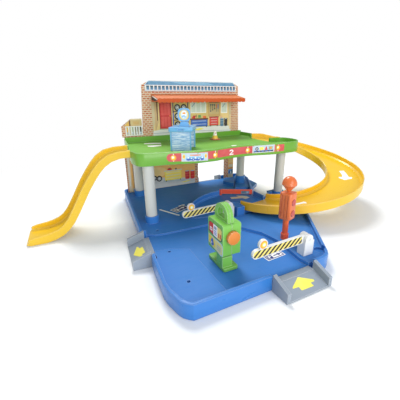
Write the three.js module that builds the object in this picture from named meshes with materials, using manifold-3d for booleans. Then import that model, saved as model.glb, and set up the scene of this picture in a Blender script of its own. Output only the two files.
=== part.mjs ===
// Toy parking garage: a blue tray with three clip-on ramps, four pillars carrying a green upper deck,
// a printed backdrop building, a straight slide, a curved car ramp and small street furniture.
// Millimetres, +Z up. The plan is drawn from the tray's sharp front corner, X along the backdrop and
// Y to the back, and the group is then moved so that the origin is under the middle of the whole toy.
import * as THREE from 'three';
import { mergeVertices } from 'three/addons/utils/BufferGeometryUtils.js';
import Module from 'manifold-3d';

const wasm = await Module();
wasm.setup();

// Sizes shared by several pieces
const gap = 0.3;              // clearance between pieces that touch
const overrun = 4;            // how far a cutter passes the face that it cuts
const arcStepDegrees = 20;    // turn of one facet in a rounded corner
const roundSides = 20;        // sides of a round post

// Tray
const trayLength = 380;
const trayDepth = 458;
const trayRimTop = 22.8;
const trayRimWidth = 5;
const trayEdgeRound = 1.6;
const traySkin = 2.4;         // moulded wall of the tray
const roadTop = 10.5;         // sunk road
const plateauTop = 13.5;      // workshop floor and front left corner
const sideTop = 16.5;         // raised strip under the front barrier and the signal
const trayRibThickness = 1.8;
const trayRibsAcross = 4;
const trayRibsDeep = 4;
const footSize = 26;
const pocketRadius = 8;
const pocketDepth = 3;
const pegHoleRadius = 2.6;
// Corners of the tray as shares of its length and depth, with the corner's radius as a share of its depth
const trayCornerShares = [
  [0, 0, 0.0044], [0.5774, 0, 0.0611], [0.8105, 0.2686, 0.1965], [0.9237, 0.4301, 0.131],
  [0.9526, 0.6026, 0.0371], [0.8658, 0.6026, 0.0131], [0.7974, 0.5459, 0.0262],
  [0.7368, 0.5218, 0.0175], [0.7342, 0.583, 0.0218], [0.8053, 0.6747, 0.1092],
  [0.8974, 0.8013, 0.131], [0.95, 0.8908, 0.0873], [0.95, 1, 0.0393], [0.0279, 1, 0.0262],
  [-0.0274, 0.4498, 0.0066], [-0.0113, 0.4437, 0], [-0.03, 0.2697, 0], [-0.0347, 0.2664, 0],
  [-0.0526, 0.0961, 0.0983], [-0.0289, 0.0197, 0.0546],
];
const leftPlateauShares = [
  [-0.0789, -0.0218], [0.1368, -0.0218], [0.1316, 0.1921], [0.1316, 0.2751], [0.0579, 0.3079],
  [0.0053, 0.3166], [-0.0789, 0.3188],
];
const rearPlateauShares = [
  [-0.0789, 0.4498], [0.0079, 0.4498], [0.0368, 0.4323], [0.0763, 0.4258], [0.4316, 0.4148],
  [1.0526, 0.4148], [1.0526, 1.0262], [-0.0789, 1.0262],
];
const sidePlateauShares = [
  [0.4947, -0.0218], [0.4789, 0.048], [0.5, 0.1638], [0.4842, 0.2489], [0.4316, 0.321],
  [0.4316, 0.417], [0.7263, 0.417], [0.7632, 0.655], [1.0526, 0.655], [1.0526, -0.0218],
];
const ledgeShares = [
  [0.7342, 0.7576], [0.8447, 0.7172], [0.9263, 0.7642], [0.9368, 0.8777], [0.8474, 0.8996],
  [0.7789, 0.8144],
];
const rearBlockShares = [
  [0.7171, 0.8712], [0.7526, 0.7969], [0.7947, 0.8537], [0.8368, 0.9094], [0.7711, 0.9269],
];
const sideBlockShares = [
  [0.8474, 0.5721], [0.8842, 0.5633], [0.9026, 0.5961], [0.8526, 0.5961],
];
const pegHoleShares = [
  [0.0605, 0.4629], [0.0474, 0.2904], [0.0421, 0.1135],
];
const pocketPlaceShares = [0.594, 0.0545];
const footPlaceShares = [
  [0.0789, 0.0524], [0.5158, 0.048], [0.8737, 0.5546], [0.8684, 0.9389], [0.0895, 0.9389],
  [0.0342, 0.5459], [0.3947, 0.5022],
];

// Pillars and their sockets
const pillarRadius = 10.6;
const pillarWall = 1.8;
const socketWall = 2.7;
const socketTop = 27.5;
const backSocketTop = 39;      // taller socket on the rear ledge
const ledgeTop = 18.5;         // ledge under the rear right socket
const cornerBlockTop = 24;     // blocks beside the two right sockets
// Pillar places as shares of the tray's length and depth
const pillarPlaceShares = [
  [0.0689, 0.5561], [0.9021, 0.5561], [0.1132, 0.9181], [0.8342, 0.8341],
];

// Upper deck
const deckBottom = 126.5;
const deckFloorTop = 141;
const deckSkin = 2.4;
const deckRimTop = 150.5;
const deckEdgeRound = 1.2;
const deckRibThickness = 1.6;
const deckRibsAcross = 4;
const deckRibsDeep = 3;
const deckBackRimTop = 154;
const deckBackBar = 12;       // depth of the bar that holds the upper boards
const deckLength = 380;
const deckDepth = 458;
// Corners of the deck as shares of its length and of the depth to its back edge, and corner radii
const deckCornerShares = [
  [0.0039, 0.6092, 0.0218], [0.0158, 0.5306, 0.0393], [0.1579, 0.5153, 0.131],
  [0.35, 0.476, 0.1747], [0.4789, 0.5044, 0.131], [0.6132, 0.5153, 0.1747],
  [0.7632, 0.4836, 0.131], [1.0013, 0.4836, 0.0764], [1.0013, 0.6371, 0.0753], [0.8947, 0.6371, 0],
  [0.8947, 0.8111, 0], [0.9447, 0.8275, 0.0175], [0.9447, 1, 0.0131], [0.0632, 1, 0.0131],
];

// Car channels
const channelWall = 2.4;
const channelFloor = 2.2;
const channelFillet = 3;
const hookThickness = 2.4;
const hookReach = 10;         // tongue of a channel under the deck's floor
const hookInset = 8;          // from the channel's side to its tongue

// Slide
const slideWidth = 65;
const slideNear = 281;        // front side of the slide
const slideHeight = 13.5;
const slideLength = 193;      // run from the deck to the foot
const slideDrop = 138.4;      // underside at the deck
const slideNoseRadius = 15;
// Underside of the slide as shares of its run and of its drop, with the rail height as a share
const slidePathShares = [
  [0.0933, 0.9928, 1], [0.171, 0.961, 1.1], [0.2332, 0.9046, 1.1], [0.285, 0.8309, 1.05],
  [0.342, 0.7225, 1.05], [0.3938, 0.6127, 1.05], [0.5078, 0.3324, 1.05], [0.5648, 0.2059, 1.05],
  [0.6166, 0.1228, 1.05], [0.6736, 0.0614, 1.1], [0.7409, 0.0217, 1.15], [0.8135, 0, 1.15],
  [0.9119, 0, 1], [0.9793, 0, 0.75],
];

// Curved ramp
const curveCentreX = 362.4;
const curveCentreY = 230;
const curveRadiusX = 161;     // to the outside of the outer wall
const curveRadiusY = 140;
const curveWidth = 77.5;
const curveHeight = 18;       // from the skirt's foot to the top of the wall
const curveSkirt = 2.6;
const curveDeckRail = 153.8;  // wall top where the ramp leaves the deck
const curveTopRail = 151.2;   // wall top where the bend begins
const curveDrop = 111.1;      // fall of the bend
const curveSag = 16.4;        // how far the fall runs ahead of an even one
const curveStartDegrees = 85;
const curveTurnDegrees = 257;
const curveStations = 38;

// Landing at the foot of the curved ramp
const landingCentreX = 183;
const landingCentreY = 207;
const landingInnerRadius = 21;
const landingRight = 272.6;
const landingCornerY = 264;   // where the straight right wall meets the gate
const landingGateX = 209.5;   // far end of the gate
const landingGateY = 300.5;
const landingEndRadius = 85;
const landingStartFloor = 24;
const landingEndFloor = 14.2;
const landingEndDegrees = 165;
const landingStations = 12;
const landingOuterRise = 13;  // wall above the floor
const landingInnerRise = 9;
const landingClearance = 1;   // round the landing in the tray's floor
const shelfTop = 21.7;
const shelfFront = 199;
const kerbBlockLeft = 183.5;
const kerbBlockRight = 200.5;
const kerbBlockFront = 191.5;
const kerbBlockTop = 35;

// Gate
const gateLength = 74;
const gateThickness = 3;
const gateHeight = 14.4;
const gateRise = 3.4;         // from the landing's floor to the plate
const gateSetback = 3;        // from the landing's edge to the middle of the plate
const gatePinRadius = 1.4;
const gateBarrelRadius = 3;
const gatePinCap = 2.4;
const gatePinHead = 1;

// Clip-on ramps
const rampWidth = 77.7;
const rampLength = 28.9;
const rampBackHeight = 24.6;
const rampFrontHeight = 14.4;
const rampWall = 5.6;
const rampFloorBack = 12;
const rampFloorNose = 2;
const rampSkin = 2.4;
const rampTongue = 7;
const rampPegRadius = 2;
const rampPegLength = 5;
const frontRampX = 111.8;
const leftRampX = -4.4;
const leftRampY = 202.2;
const leftRampTurnDegrees = -95.1;
const backRampX = 297;

// Backdrop boards
const boardThickness = 2.4;
const boardFace = 450;        // front face of every board
const boardSlotBottom = 146;
const lowerBoardLeft = 20;
const lowerBoardRight = 337;
const gatewayLeft = 219;
const gatewayRight = 304.6;
const gatewayTop = 118;
const upperBoardLeft = 75;
const upperBoardRight = 345.5;
const upperBoardFlare = 5.5;   // how much wider the upper board's foot is at each side
const upperBoardShoulder = 273.7;
const upperBoardTop = 283.5;
const upperBoardSlope = 20;
const annexeShoulder = 180;
const annexeTop = 197;
const annexeSlope = 23;
const annexeOverhang = 6.4;    // beyond the deck's slot, above its bar
const railingHeight = 13.3;
const railingRail = 1.8;
const railingBars = 26;
const railingBar = 2.6;
const railingInset = 8.5;      // from the board's side to its railing
const annexeRailingHeight = 22.6;
const annexeRailingBars = 6;

// Awning
const awningLeft = 97;
const awningRight = 337;
const awningBelow = 8.2;       // from the railing's foot down to the awning
const awningReach = 50;
const awningDrop = 10;
const awningThickness = 2;
const awningWaves = 22;
const awningWaveRise = 1.1;
const awningValance = 7;
const awningScallop = 2.6;

// Car wash
const washX = 85;
const washY = 293;
const washTurnDegrees = -27.2;
const washLength = 42;
const washLane = 50;
const washSkew = 6.2;          // how far the back stands to the right of the front
const washPanelTop = 179;
const washPost = 3;
const washPanel = 2;
const washSlabTop = 188;
const washSlabOverhang = 3;
const washStandHeight = 9;
const washStandWidth = 22;
const washStandDepth = 14;
const washSignWidth = 25.6;
const washSignHeight = 26;
const washSignRadius = 8;
const washSignThickness = 5;
const washSignRecess = 1.2;
const washSignBorder = 3;
const washSlotWidth = 12;
const washSlotHeight = 4;

// Cone
const coneX = 243.6;
const coneY = 395.3;
const coneBaseSize = 20;
const coneBaseThickness = 2;
const coneHeight = 23;
const coneFootRadius = 8;
const coneTipRadius = 2.6;
const coneWall = 1.4;

// Fuel pump
const pumpLeft = 68;
const pumpRight = 97;
const pumpFront = 53.5;
const pumpBack = 96;
const pumpBottom = 32;
const pumpTop = 80;
const pumpCorner = 3;
const pumpHandleTop = 104;
const pumpHandleFront = 58;
const pumpHandleBack = 94;
const pumpHandleThickness = 9.6;
const pumpHoleFront = 65.6;
const pumpHoleBack = 86.4;
const pumpHoleLow = 84;
const pumpHoleHigh = 97.4;
const pumpStemRight = 84;
const pumpStemBack = 70;
const pumpPlinthRight = 92;
const pumpPlinthFront = 49;
const pumpPlinthTop = 16;
const knobZ = 61.5;
const knobRadius = 10;
const knobDepth = 6;
const knobFlutes = 12;
const knobFlute = 0.6;
const knobAxleRadius = 2.2;
const knobAxleLength = 14;

// Signal
const signalX = 203;
const signalY = 78;
const signalFootRadius = 6.5;
const signalFootTop = 28;
const signalStemRadius = 4.9;
const signalStemTop = 54;
const signalPegRadius = 3;
const signalPegLength = 8;
const signalHeadWidth = 20.8;
const signalHeadTop = 99.5;
const signalHeadTurnDegrees = 17;
const signalHeadCorner = 4;
const signalNeckRadius = 2.6;
const signalNeckHeight = 1.5;
const signalConeTop = 112;
const signalDomeRadius = 11.8;
const signalDomeTop = 125.4;
const signalLampRadius = 5.2;
const signalLampDepth = 3;
const signalLampProud = 1;
const signalUpperLamp = 83.5;
const signalLowerLamp = 65;
const signalGroove = 1.2;
const signalGrooves = 3;

// Barriers
const postWidth = 18;
const postDepth = 14;
const postShoulder = 24.3;
const postPivotX = 8;
const postPivotZ = 26.8;
const postHumpRadius = 7.4;
const postHollow = 2.4;
const armThickness = 4;
const armHeight = 14;
const armLength = 92;         // from the pivot to the middle of the rounded end
const armDroop = 2;           // how much lower the far end hangs
const armDiscOffset = 10.8;
const armDiscHeight = 12.6;
const armDiscRadius = 7.4;
const pinRadius = 1.5;
const frontBarrierX = 189.5;
const frontBarrierY = 22;
const rearBarrierX = 160;
const rearBarrierY = 195;

// Colours
const blue = 0x3f87d8;
const green = 0x7fc043;
const yellow = 0xf5c832;
const amber = 0xf2b02c;
const grey = 0x98a3ad;
const paleGrey = 0xc9ccc8;
const red = 0xe8492c;
const orange = 0xec7a3a;
const white = 0xf2f2ee;
const beige = 0xd9bd93;
const washBlue = 0x7fb4e6;
const panelBlue = 0xa5cfe0;

const group = new THREE.Group();

// Solids
function toSolid(positions, index) {
  return new wasm.Manifold(new wasm.Mesh({
    numProp: 3,
    vertProperties: new Float32Array(positions),
    triVerts: new Uint32Array(index),
  }));
}

function solid(geometry) {
  const bare = geometry.clone();
  bare.deleteAttribute('normal');
  bare.deleteAttribute('uv');
  const merged = mergeVertices(bare);
  return toSolid(merged.attributes.position.array, merged.index.array);
}

function placed(body, degrees, x, y, z = 0) {
  const mesh = body.getMesh();
  const turn = new THREE.Matrix4().makeRotationZ(THREE.MathUtils.degToRad(degrees));
  const places = new THREE.BufferAttribute(new Float32Array(mesh.vertProperties), 3);
  places.applyMatrix4(turn.setPosition(x, y, z));
  return toSolid(places.array, mesh.triVerts);
}

function addPiece(name, body, colour, look = {}) {
  const mesh = body.getMesh();
  const geometry = new THREE.BufferGeometry();
  geometry.setAttribute('position', new THREE.BufferAttribute(new Float32Array(mesh.vertProperties), 3));
  geometry.setIndex(new THREE.BufferAttribute(new Uint32Array(mesh.triVerts), 1));
  geometry.computeVertexNormals();
  const material = new THREE.MeshStandardMaterial({ color: colour, roughness: 0.38, metalness: 0, ...look });
  const piece = new THREE.Mesh(geometry, material);
  piece.name = name;
  group.add(piece);
}

function extruded(points, length, holes = [], bevel = 0) {
  const shape = new THREE.Shape(points.map(([x, y]) => new THREE.Vector2(x, y)));
  for (const hole of holes) {
    shape.holes.push(new THREE.Path(hole.map(([x, y]) => new THREE.Vector2(x, y))));
  }
  return new THREE.ExtrudeGeometry(shape, {
    depth: length - 2 * bevel,
    bevelEnabled: bevel > 0,
    bevelThickness: bevel,
    bevelSize: bevel,
    bevelOffset: -bevel,
    bevelSegments: 2,
  });
}

// An outline of the plan raised from one height to another
function prism(points, low, high, bevel = 0) {
  return solid(extruded(points, high - low, [], bevel).translate(0, 0, low + bevel));
}

// An outline in X and Z carried along Y
function prismAlongY(points, near, far, holes = [], bevel = 0) {
  const geometry = extruded(points, far - near, holes, bevel);
  return solid(geometry.rotateX(Math.PI / 2).translate(0, far - bevel, 0));
}

// An outline in Y and Z carried along X
function prismAlongX(points, left, right, bevel = 0) {
  const geometry = extruded(points, right - left, [], bevel);
  geometry.rotateZ(Math.PI / 2).rotateY(Math.PI / 2);
  return solid(geometry.translate(left + bevel, 0, 0));
}

function block(x0, x1, y0, y1, z0, z1) {
  return prism([[x0, y0], [x1, y0], [x1, y1], [x0, y1]], z0, z1);
}

function arc(x, y, radius, fromDegrees, toDegrees, steps) {
  return Array.from({ length: steps + 1 }, (unused, i) => {
    const angle = THREE.MathUtils.degToRad(fromDegrees + ((toDegrees - fromDegrees) * i) / steps);
    return [x + radius * Math.cos(angle), y + radius * Math.sin(angle)];
  });
}

function circle(x, y, radius, sides = roundSides) {
  return arc(x, y, radius, 0, 360, sides).slice(0, -1);
}

function post(x, y, radius, low, high, sides = roundSides) {
  return prism(circle(x, y, radius, sides), low, high);
}

// A profile of radius and height turned about an upright line
function turned(profile, x, y, sides = roundSides) {
  const points = profile.map(([radius, z]) => new THREE.Vector2(radius, z));
  return solid(new THREE.LatheGeometry(points, sides).rotateX(Math.PI / 2).translate(x, y, 0));
}

function scaled(shares, ...sizes) {
  return shares.map((row) => row.map((share, i) => share * sizes[i]));
}

// Corners with a radius each, turned into an outline
function rounded(corners) {
  return corners.flatMap(([x, y, radius], i) => {
    const here = new THREE.Vector2(x, y);
    const [bx, by] = corners[(i + corners.length - 1) % corners.length];
    const [ax, ay] = corners[(i + 1) % corners.length];
    const back = new THREE.Vector2(bx, by).sub(here);
    const ahead = new THREE.Vector2(ax, ay).sub(here);
    const room = Math.min(back.length(), ahead.length()) / 2;
    const half = back.angleTo(ahead) / 2;
    const reach = Math.min(radius / Math.tan(half), room);
    if (reach <= 0) {
      return [[x, y]];
    }
    const trueRadius = reach * Math.tan(half);
    const inward = back.clone().normalize().add(ahead.clone().normalize());
    const middle = inward.setLength(trueRadius / Math.sin(half));
    const centre = here.clone().add(middle);
    const start = here.clone().addScaledVector(back.normalize(), reach).sub(centre);
    const sweep = Math.PI - 2 * half;
    const sense = Math.sign(ahead.x * back.y - ahead.y * back.x);
    const steps = Math.max(1, Math.round(THREE.MathUtils.radToDeg(sweep) / arcStepDegrees));
    return Array.from({ length: steps + 1 }, (unused, k) => {
      const p = start.clone().rotateAround(new THREE.Vector2(), (sense * sweep * k) / steps).add(centre);
      return [p.x, p.y];
    });
  });
}

// The same corners moved inwards, with radii to match
function shrunk(corners, distance) {
  return corners.map(([x, y, radius], i) => {
    const here = new THREE.Vector2(x, y);
    const [bx, by] = corners[(i + corners.length - 1) % corners.length];
    const [ax, ay] = corners[(i + 1) % corners.length];
    const inbound = here.clone().sub(new THREE.Vector2(bx, by)).normalize();
    const outbound = new THREE.Vector2(ax, ay).sub(here).normalize();
    const normal = new THREE.Vector2(-inbound.y - outbound.y, inbound.x + outbound.x).normalize();
    const spread = normal.dot(new THREE.Vector2(-inbound.y, inbound.x));
    const moved = here.addScaledVector(normal, distance / spread);
    const bend = Math.sign(inbound.x * outbound.y - inbound.y * outbound.x);
    return [moved.x, moved.y, Math.max(0, radius - bend * distance)];
  });
}

// A solid through sections that have the same number of points
function loft(sections, capOutline) {
  const count = capOutline.length;
  const positions = sections.flatMap((section) => section.flatMap((p) => [p.x, p.y, p.z]));
  const faces = [];
  for (let s = 0; s + 1 < sections.length; s += 1) {
    for (let i = 0; i < count; i += 1) {
      const a = s * count + i;
      const b = s * count + ((i + 1) % count);
      faces.push([a, b, b + count], [a, b + count, a + count]);
    }
  }
  const outline = capOutline.map(([u, v]) => new THREE.Vector2(u, v));
  const last = (sections.length - 1) * count;
  for (const [a, b, c] of THREE.ShapeUtils.triangulateShape(outline, [])) {
    faces.push([a, c, b], [a + last, b + last, c + last]);
  }
  const corner = (i) => new THREE.Vector3(...positions.slice(3 * i, 3 * i + 3));
  const volume = faces.reduce((sum, [a, b, c]) => sum + corner(a).dot(corner(b).cross(corner(c))), 0);
  return toSolid(positions, faces.flatMap(([a, b, c]) => (volume > 0 ? [a, b, c] : [a, c, b])));
}

// Section of a car channel: u runs across it and v up from the foot of its skirts
function channelSection(width, skirt, firstHeight, lastHeight) {
  const floorTop = skirt + channelFloor;
  const bead = channelWall / 2;
  const farWall = width - channelWall;
  const under = skirt > 0 ? [[channelWall, 0], [channelWall, skirt], [farWall, skirt], [farWall, 0]] : [];
  return [
    [0, 0],
    ...under,
    [width, 0],
    [width, lastHeight - bead],
    [width - bead, lastHeight],
    [farWall, lastHeight - bead],
    [farWall, floorTop + channelFillet],
    [farWall - channelFillet, floorTop],
    [channelWall + channelFillet, floorTop],
    [channelWall, floorTop + channelFillet],
    [channelWall, firstHeight - bead],
    [bead, firstHeight],
    [0, firstHeight - bead],
  ];
}

function section(origin, across, up, outline) {
  return outline.map(([u, v]) => origin.clone().addScaledVector(across, u).addScaledVector(up, v));
}

const upright = new THREE.Vector3(0, 0, 1);

// Ramps that clip on the tray, drawn with the tray's edge along X and the car's way down along -Y
function rampBody() {
  const side = [[-gap, 0], [-gap, rampBackHeight], [-rampLength, rampFrontHeight], [-rampLength, 0]];
  const floor = [
    [rampTongue, rampFloorBack - rampSkin],
    [rampTongue, rampFloorBack],
    [0, rampFloorBack],
    [-rampLength, rampFloorNose],
    [-rampLength, 0],
    [-rampLength + rampWall, 0],
    [-gap, rampFloorBack - rampSkin],
  ];
  const back = block(0, rampWidth, -gap - rampSkin, -gap, 0, rampFloorBack);
  let body = prismAlongX(side, 0, rampWall)
    .add(prismAlongX(side, rampWidth - rampWall, rampWidth))
    .add(prismAlongX(floor, rampWall, rampWidth - rampWall))
    .add(back);
  for (const x of rampPegPlaces()) {
    const low = rampFloorBack - rampSkin - rampPegLength;
    body = body.add(post(x, rampPegY(), rampPegRadius, low, rampFloorBack - rampSkin / 2, roundSides / 2));
  }
  return body;
}

function rampPegPlaces() {
  return [rampWidth / 4, (3 * rampWidth) / 4];
}

function rampPegY() {
  return rampTongue - rampPegRadius - gap;
}

function rampNotch() {
  const sill = rampFloorBack - rampSkin - gap;
  let notch = block(-gap, rampWidth + gap, -overrun, rampTongue + gap, sill, trayRimTop + overrun);
  for (const x of rampPegPlaces()) {
    notch = notch.add(post(x, rampPegY(), rampPegRadius + gap, -overrun, trayRimTop, roundSides / 2));
  }
  return notch;
}

const rampPlaces = {
  front_ramp: [0, frontRampX, 0],
  left_ramp: [leftRampTurnDegrees, leftRampX, leftRampY],
  back_ramp: [180, backRampX, trayDepth],
};

// Landing: plan of its outer edge as distances from the turn's centre
function landingRadius(degrees) {
  const angle = THREE.MathUtils.degToRad(degrees);
  const ray = new THREE.Vector2(Math.cos(angle), Math.sin(angle));
  const cornerX = landingRight - landingCentreX;
  const cornerY = landingCornerY - landingCentreY;
  const gateX = landingGateX - landingCentreX;
  const gateY = landingGateY - landingCentreY;
  if (degrees <= landingCornerDegrees) {
    return cornerX / ray.x;
  }
  if (degrees <= landingGateDegrees) {
    return (cornerX * gateY - cornerY * gateX) / ((gateY - cornerY) * ray.x - (gateX - cornerX) * ray.y);
  }
  const share = (degrees - landingGateDegrees) / (landingEndDegrees - landingGateDegrees);
  const gateRadius = Math.hypot(gateX, gateY);
  return gateRadius + (landingEndRadius - gateRadius) * share * share;
}

const landingCornerDegrees = THREE.MathUtils.radToDeg(
  Math.atan2(landingCornerY - landingCentreY, landingRight - landingCentreX),
);
const landingGateDegrees = THREE.MathUtils.radToDeg(
  Math.atan2(landingGateY - landingCentreY, landingGateX - landingCentreX),
);

function curvePlace(share) {
  const angle = THREE.MathUtils.degToRad(curveStartDegrees - curveTurnDegrees * share);
  const across = new THREE.Vector3(Math.cos(angle), Math.sin(angle), 0);
  const innerX = curveRadiusX - curveWidth;
  const innerY = curveRadiusY - curveWidth;
  const inner = new THREE.Vector3(curveCentreX + innerX * across.x, curveCentreY + innerY * across.y, 0);
  const rail = curveTopRail - curveDrop * share - 4 * curveSag * share * (1 - share);
  return { inner, across, rail };
}

const curveEnd = curvePlace(1);
const curveEndOuter = curveEnd.inner.clone().addScaledVector(curveEnd.across, curveWidth);

function landingPlaces() {
  const start = new THREE.Vector2(curveEnd.inner.x - curveEndOuter.x, curveEnd.inner.y - curveEndOuter.y);
  const slope = start.y / start.x;
  const startX = landingCentreX + landingInnerRadius;
  const clearance = 2 * gap;
  const lineY = (x) => curveEndOuter.y + clearance + slope * (x - curveEndOuter.x);
  const places = [[startX, lineY(startX), landingRight, lineY(landingRight), landingStartFloor]];
  const angles = [landingCornerDegrees, landingGateDegrees];
  const first = landingCornerDegrees / 2;
  for (let i = 0; i <= landingStations; i += 1) {
    angles.push(first + ((landingEndDegrees - first) * i) / landingStations);
  }
  for (const degrees of angles.sort((a, b) => a - b)) {
    const angle = THREE.MathUtils.degToRad(degrees);
    const share = Math.max(0, (degrees - landingGateDegrees) / (landingEndDegrees - landingGateDegrees));
    const floor = landingStartFloor + (landingEndFloor - landingStartFloor) * share * (2 - share);
    const radius = landingRadius(degrees);
    places.push([
      landingCentreX + landingInnerRadius * Math.cos(angle),
      landingCentreY + landingInnerRadius * Math.sin(angle),
      landingCentreX + radius * Math.cos(angle),
      landingCentreY + radius * Math.sin(angle),
      floor,
    ]);
  }
  return places;
}

const landingRows = landingPlaces();
const landingBase = roadTop + gap;
const landingOutline = [
  [kerbBlockLeft, kerbBlockFront],
  [kerbBlockRight, kerbBlockFront],
  [kerbBlockRight, shelfFront],
  [landingRight, shelfFront],
  ...landingRows.map(([, , x, y]) => [x, y]),
  ...landingRows.slice().reverse().map(([x, y]) => [x, y]).slice(0, -1),
  [kerbBlockLeft, landingRows[0][1] + channelWall],
];

// Gate on the landing: the pin stands at the far end and the plate runs to the corner
const gateWay = new THREE.Vector2(landingRight - landingGateX, landingCornerY - landingGateY).normalize();
const gateInward = new THREE.Vector2(gateWay.y, -gateWay.x);
const gatePin = new THREE.Vector2(landingGateX, landingGateY)
  .addScaledVector(gateInward, gateSetback)
  .addScaledVector(gateWay, -gateBarrelRadius / 2);
const gateTurn = THREE.MathUtils.radToDeg(gateWay.angle());

function alongGate(x0, x1, y0, y1, z0, z1) {
  return placed(block(x0, x1, y0, y1, z0, z1), gateTurn, gatePin.x, gatePin.y);
}

// Tray
const trayCorners = scaled(trayCornerShares, trayLength, trayDepth, trayDepth);
const pillarPlaces = scaled(pillarPlaceShares, trayLength, trayDepth);
const socketRadius = pillarRadius + gap + socketWall;
const socketTops = [socketTop, socketTop, socketTop, backSocketTop];

function grid(length, depth, across, deep, thickness, low, high) {
  let ribs = null;
  for (let i = 1; i <= across; i += 1) {
    const x = (length * i) / (across + 1);
    const rib = block(x, x + thickness, -depth, 2 * depth, low, high);
    ribs = ribs ? ribs.add(rib) : rib;
  }
  for (let i = 1; i <= deep; i += 1) {
    const y = (depth * i) / (deep + 1);
    ribs = ribs.add(block(-length, 2 * length, y, y + thickness, low, high));
  }
  return ribs;
}

function makeTray() {
  const inside = rounded(shrunk(trayCorners, trayRimWidth));
  const floorArea = prism(rounded(shrunk(trayCorners, trayRimWidth / 2)), 0, trayRimTop);
  let tray = prism(rounded(trayCorners), 0, trayRimTop, trayEdgeRound);
  tray = tray.subtract(prism(inside, roadTop, trayRimTop + overrun));
  const levels = [[leftPlateauShares, plateauTop], [rearPlateauShares, plateauTop], [sidePlateauShares, sideTop]];
  for (const [shares, top] of levels) {
    const level = prism(scaled(shares, trayLength, trayDepth), roadTop - traySkin / 2, top);
    tray = tray.add(level.intersect(floorArea));
  }
  const bed = shrunk(landingOutline.map(([x, y]) => [x, y, 0]), -landingClearance).map(([x, y]) => [x, y]);
  tray = tray.subtract(prism(bed, roadTop, trayRimTop + overrun));
  const raised = [[ledgeShares, ledgeTop], [rearBlockShares, cornerBlockTop], [sideBlockShares, cornerBlockTop]];
  for (const [shares, top] of raised) {
    tray = tray.add(prism(scaled(shares, trayLength, trayDepth), roadTop - traySkin / 2, top));
  }
  pillarPlaces.forEach(([x, y], i) => {
    tray = tray.add(post(x, y, socketRadius, roadTop - traySkin / 2, socketTops[i]));
  });
  const under = roadTop - traySkin;
  let hollow = prism(rounded(shrunk(trayCorners, traySkin)), -overrun, under);
  hollow = hollow.subtract(
    grid(trayLength, trayDepth, trayRibsAcross, trayRibsDeep, trayRibThickness, 0, roadTop),
  );
  for (const [x, y] of scaled(footPlaceShares, trayLength, trayDepth)) {
    const half = footSize / 2;
    hollow = hollow.subtract(block(x - half, x + half, y - half, y + half, 0, roadTop));
  }
  tray = tray.subtract(hollow);
  for (const [x, y] of pillarPlaces) {
    tray = tray.subtract(post(x, y, pillarRadius + gap, plateauTop, backSocketTop + overrun));
  }
  for (const [x, y] of scaled(pegHoleShares, trayLength, trayDepth)) {
    tray = tray.subtract(post(x, y, pegHoleRadius, -overrun, plateauTop + overrun, roundSides / 2));
  }
  const [[pocketX, pocketY]] = scaled([pocketPlaceShares], trayLength, trayDepth);
  tray = tray.subtract(post(pocketX, pocketY, pocketRadius, sideTop - pocketDepth, trayRimTop + overrun));
  for (const place of Object.values(rampPlaces)) {
    tray = tray.subtract(placed(rampNotch(), ...place));
  }
  const boardSlot = block(lowerBoardLeft - gap, lowerBoardRight + gap, boardFace - gap,
    boardFace + boardThickness + gap, plateauTop, trayRimTop + overrun);
  return tray.subtract(boardSlot);
}

addPiece('base_tray', makeTray(), blue);

for (const [name, place] of Object.entries(rampPlaces)) {
  addPiece(name, placed(rampBody(), ...place), grey);
}

const pillarNames = ['pillar_front_left', 'pillar_front_right', 'pillar_back_left', 'pillar_back_right'];
pillarPlaces.forEach(([x, y], i) => {
  const low = plateauTop + gap;
  const high = deckFloorTop - deckSkin - gap;
  const tube = post(x, y, pillarRadius, low, high)
    .subtract(post(x, y, pillarRadius - pillarWall, low - overrun, high + overrun));
  addPiece(pillarNames[i], tube, paleGrey);
});

// Landing
function makeLanding() {
  const sections = landingRows.map(([x0, y0, x1, y1, floor]) => {
    const across = new THREE.Vector3(x1 - x0, y1 - y0, 0);
    const width = across.length();
    const skirt = floor - channelFloor - landingBase;
    const rise = floor - landingBase;
    const outline = channelSection(width, skirt, rise + landingInnerRise, rise + landingOuterRise);
    const start = new THREE.Vector3(x0, y0, landingBase);
    return { outline, points: section(start, across.normalize(), upright, outline) };
  });
  const channel = loft(sections.map(({ points }) => points), sections[0].outline);
  const kerbBack = landingRows[0][1];
  const kerb = block(kerbBlockLeft, kerbBlockRight, kerbBlockFront, kerbBack + channelWall, landingBase, kerbBlockTop)
    .subtract(block(
      kerbBlockLeft + channelWall,
      kerbBlockRight - channelWall,
      kerbBlockFront + channelWall,
      kerbBack - channelWall,
      landingBase - overrun,
      kerbBlockTop - channelWall,
    ));
  const [[startX, startY, endX, endY]] = landingRows;
  const shelf = prism(
    [
      [kerbBlockRight - channelWall, shelfFront],
      [landingRight, shelfFront],
      [endX, endY + channelWall],
      [startX, startY + channelWall],
    ],
    landingBase,
    shelfTop,
  );
  const shelfRoom = prism(
    [
      [kerbBlockRight + channelWall, shelfFront + channelWall],
      [landingRight - channelWall, shelfFront + channelWall],
      [endX - channelWall, endY + 2 * channelWall],
      [startX + channelWall, startY + 2 * channelWall],
    ],
    landingBase - overrun,
    shelfTop - channelFloor,
  );
  const gateRoom = alongGate(
    -gateBarrelRadius - gap,
    gateLength + gateBarrelRadius,
    -gateBarrelRadius - gap,
    gateSetback + overrun,
    landingStartFloor,
    landingStartFloor + 2 * landingOuterRise,
  );
  return channel
    .add(kerb)
    .add(shelf.subtract(shelfRoom))
    .subtract(gateRoom)
    .subtract(post(gatePin.x, gatePin.y, gatePinRadius + gap, 0, landingStartFloor + overrun, roundSides / 2));
}

addPiece('landing_turn', makeLanding(), blue);

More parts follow.
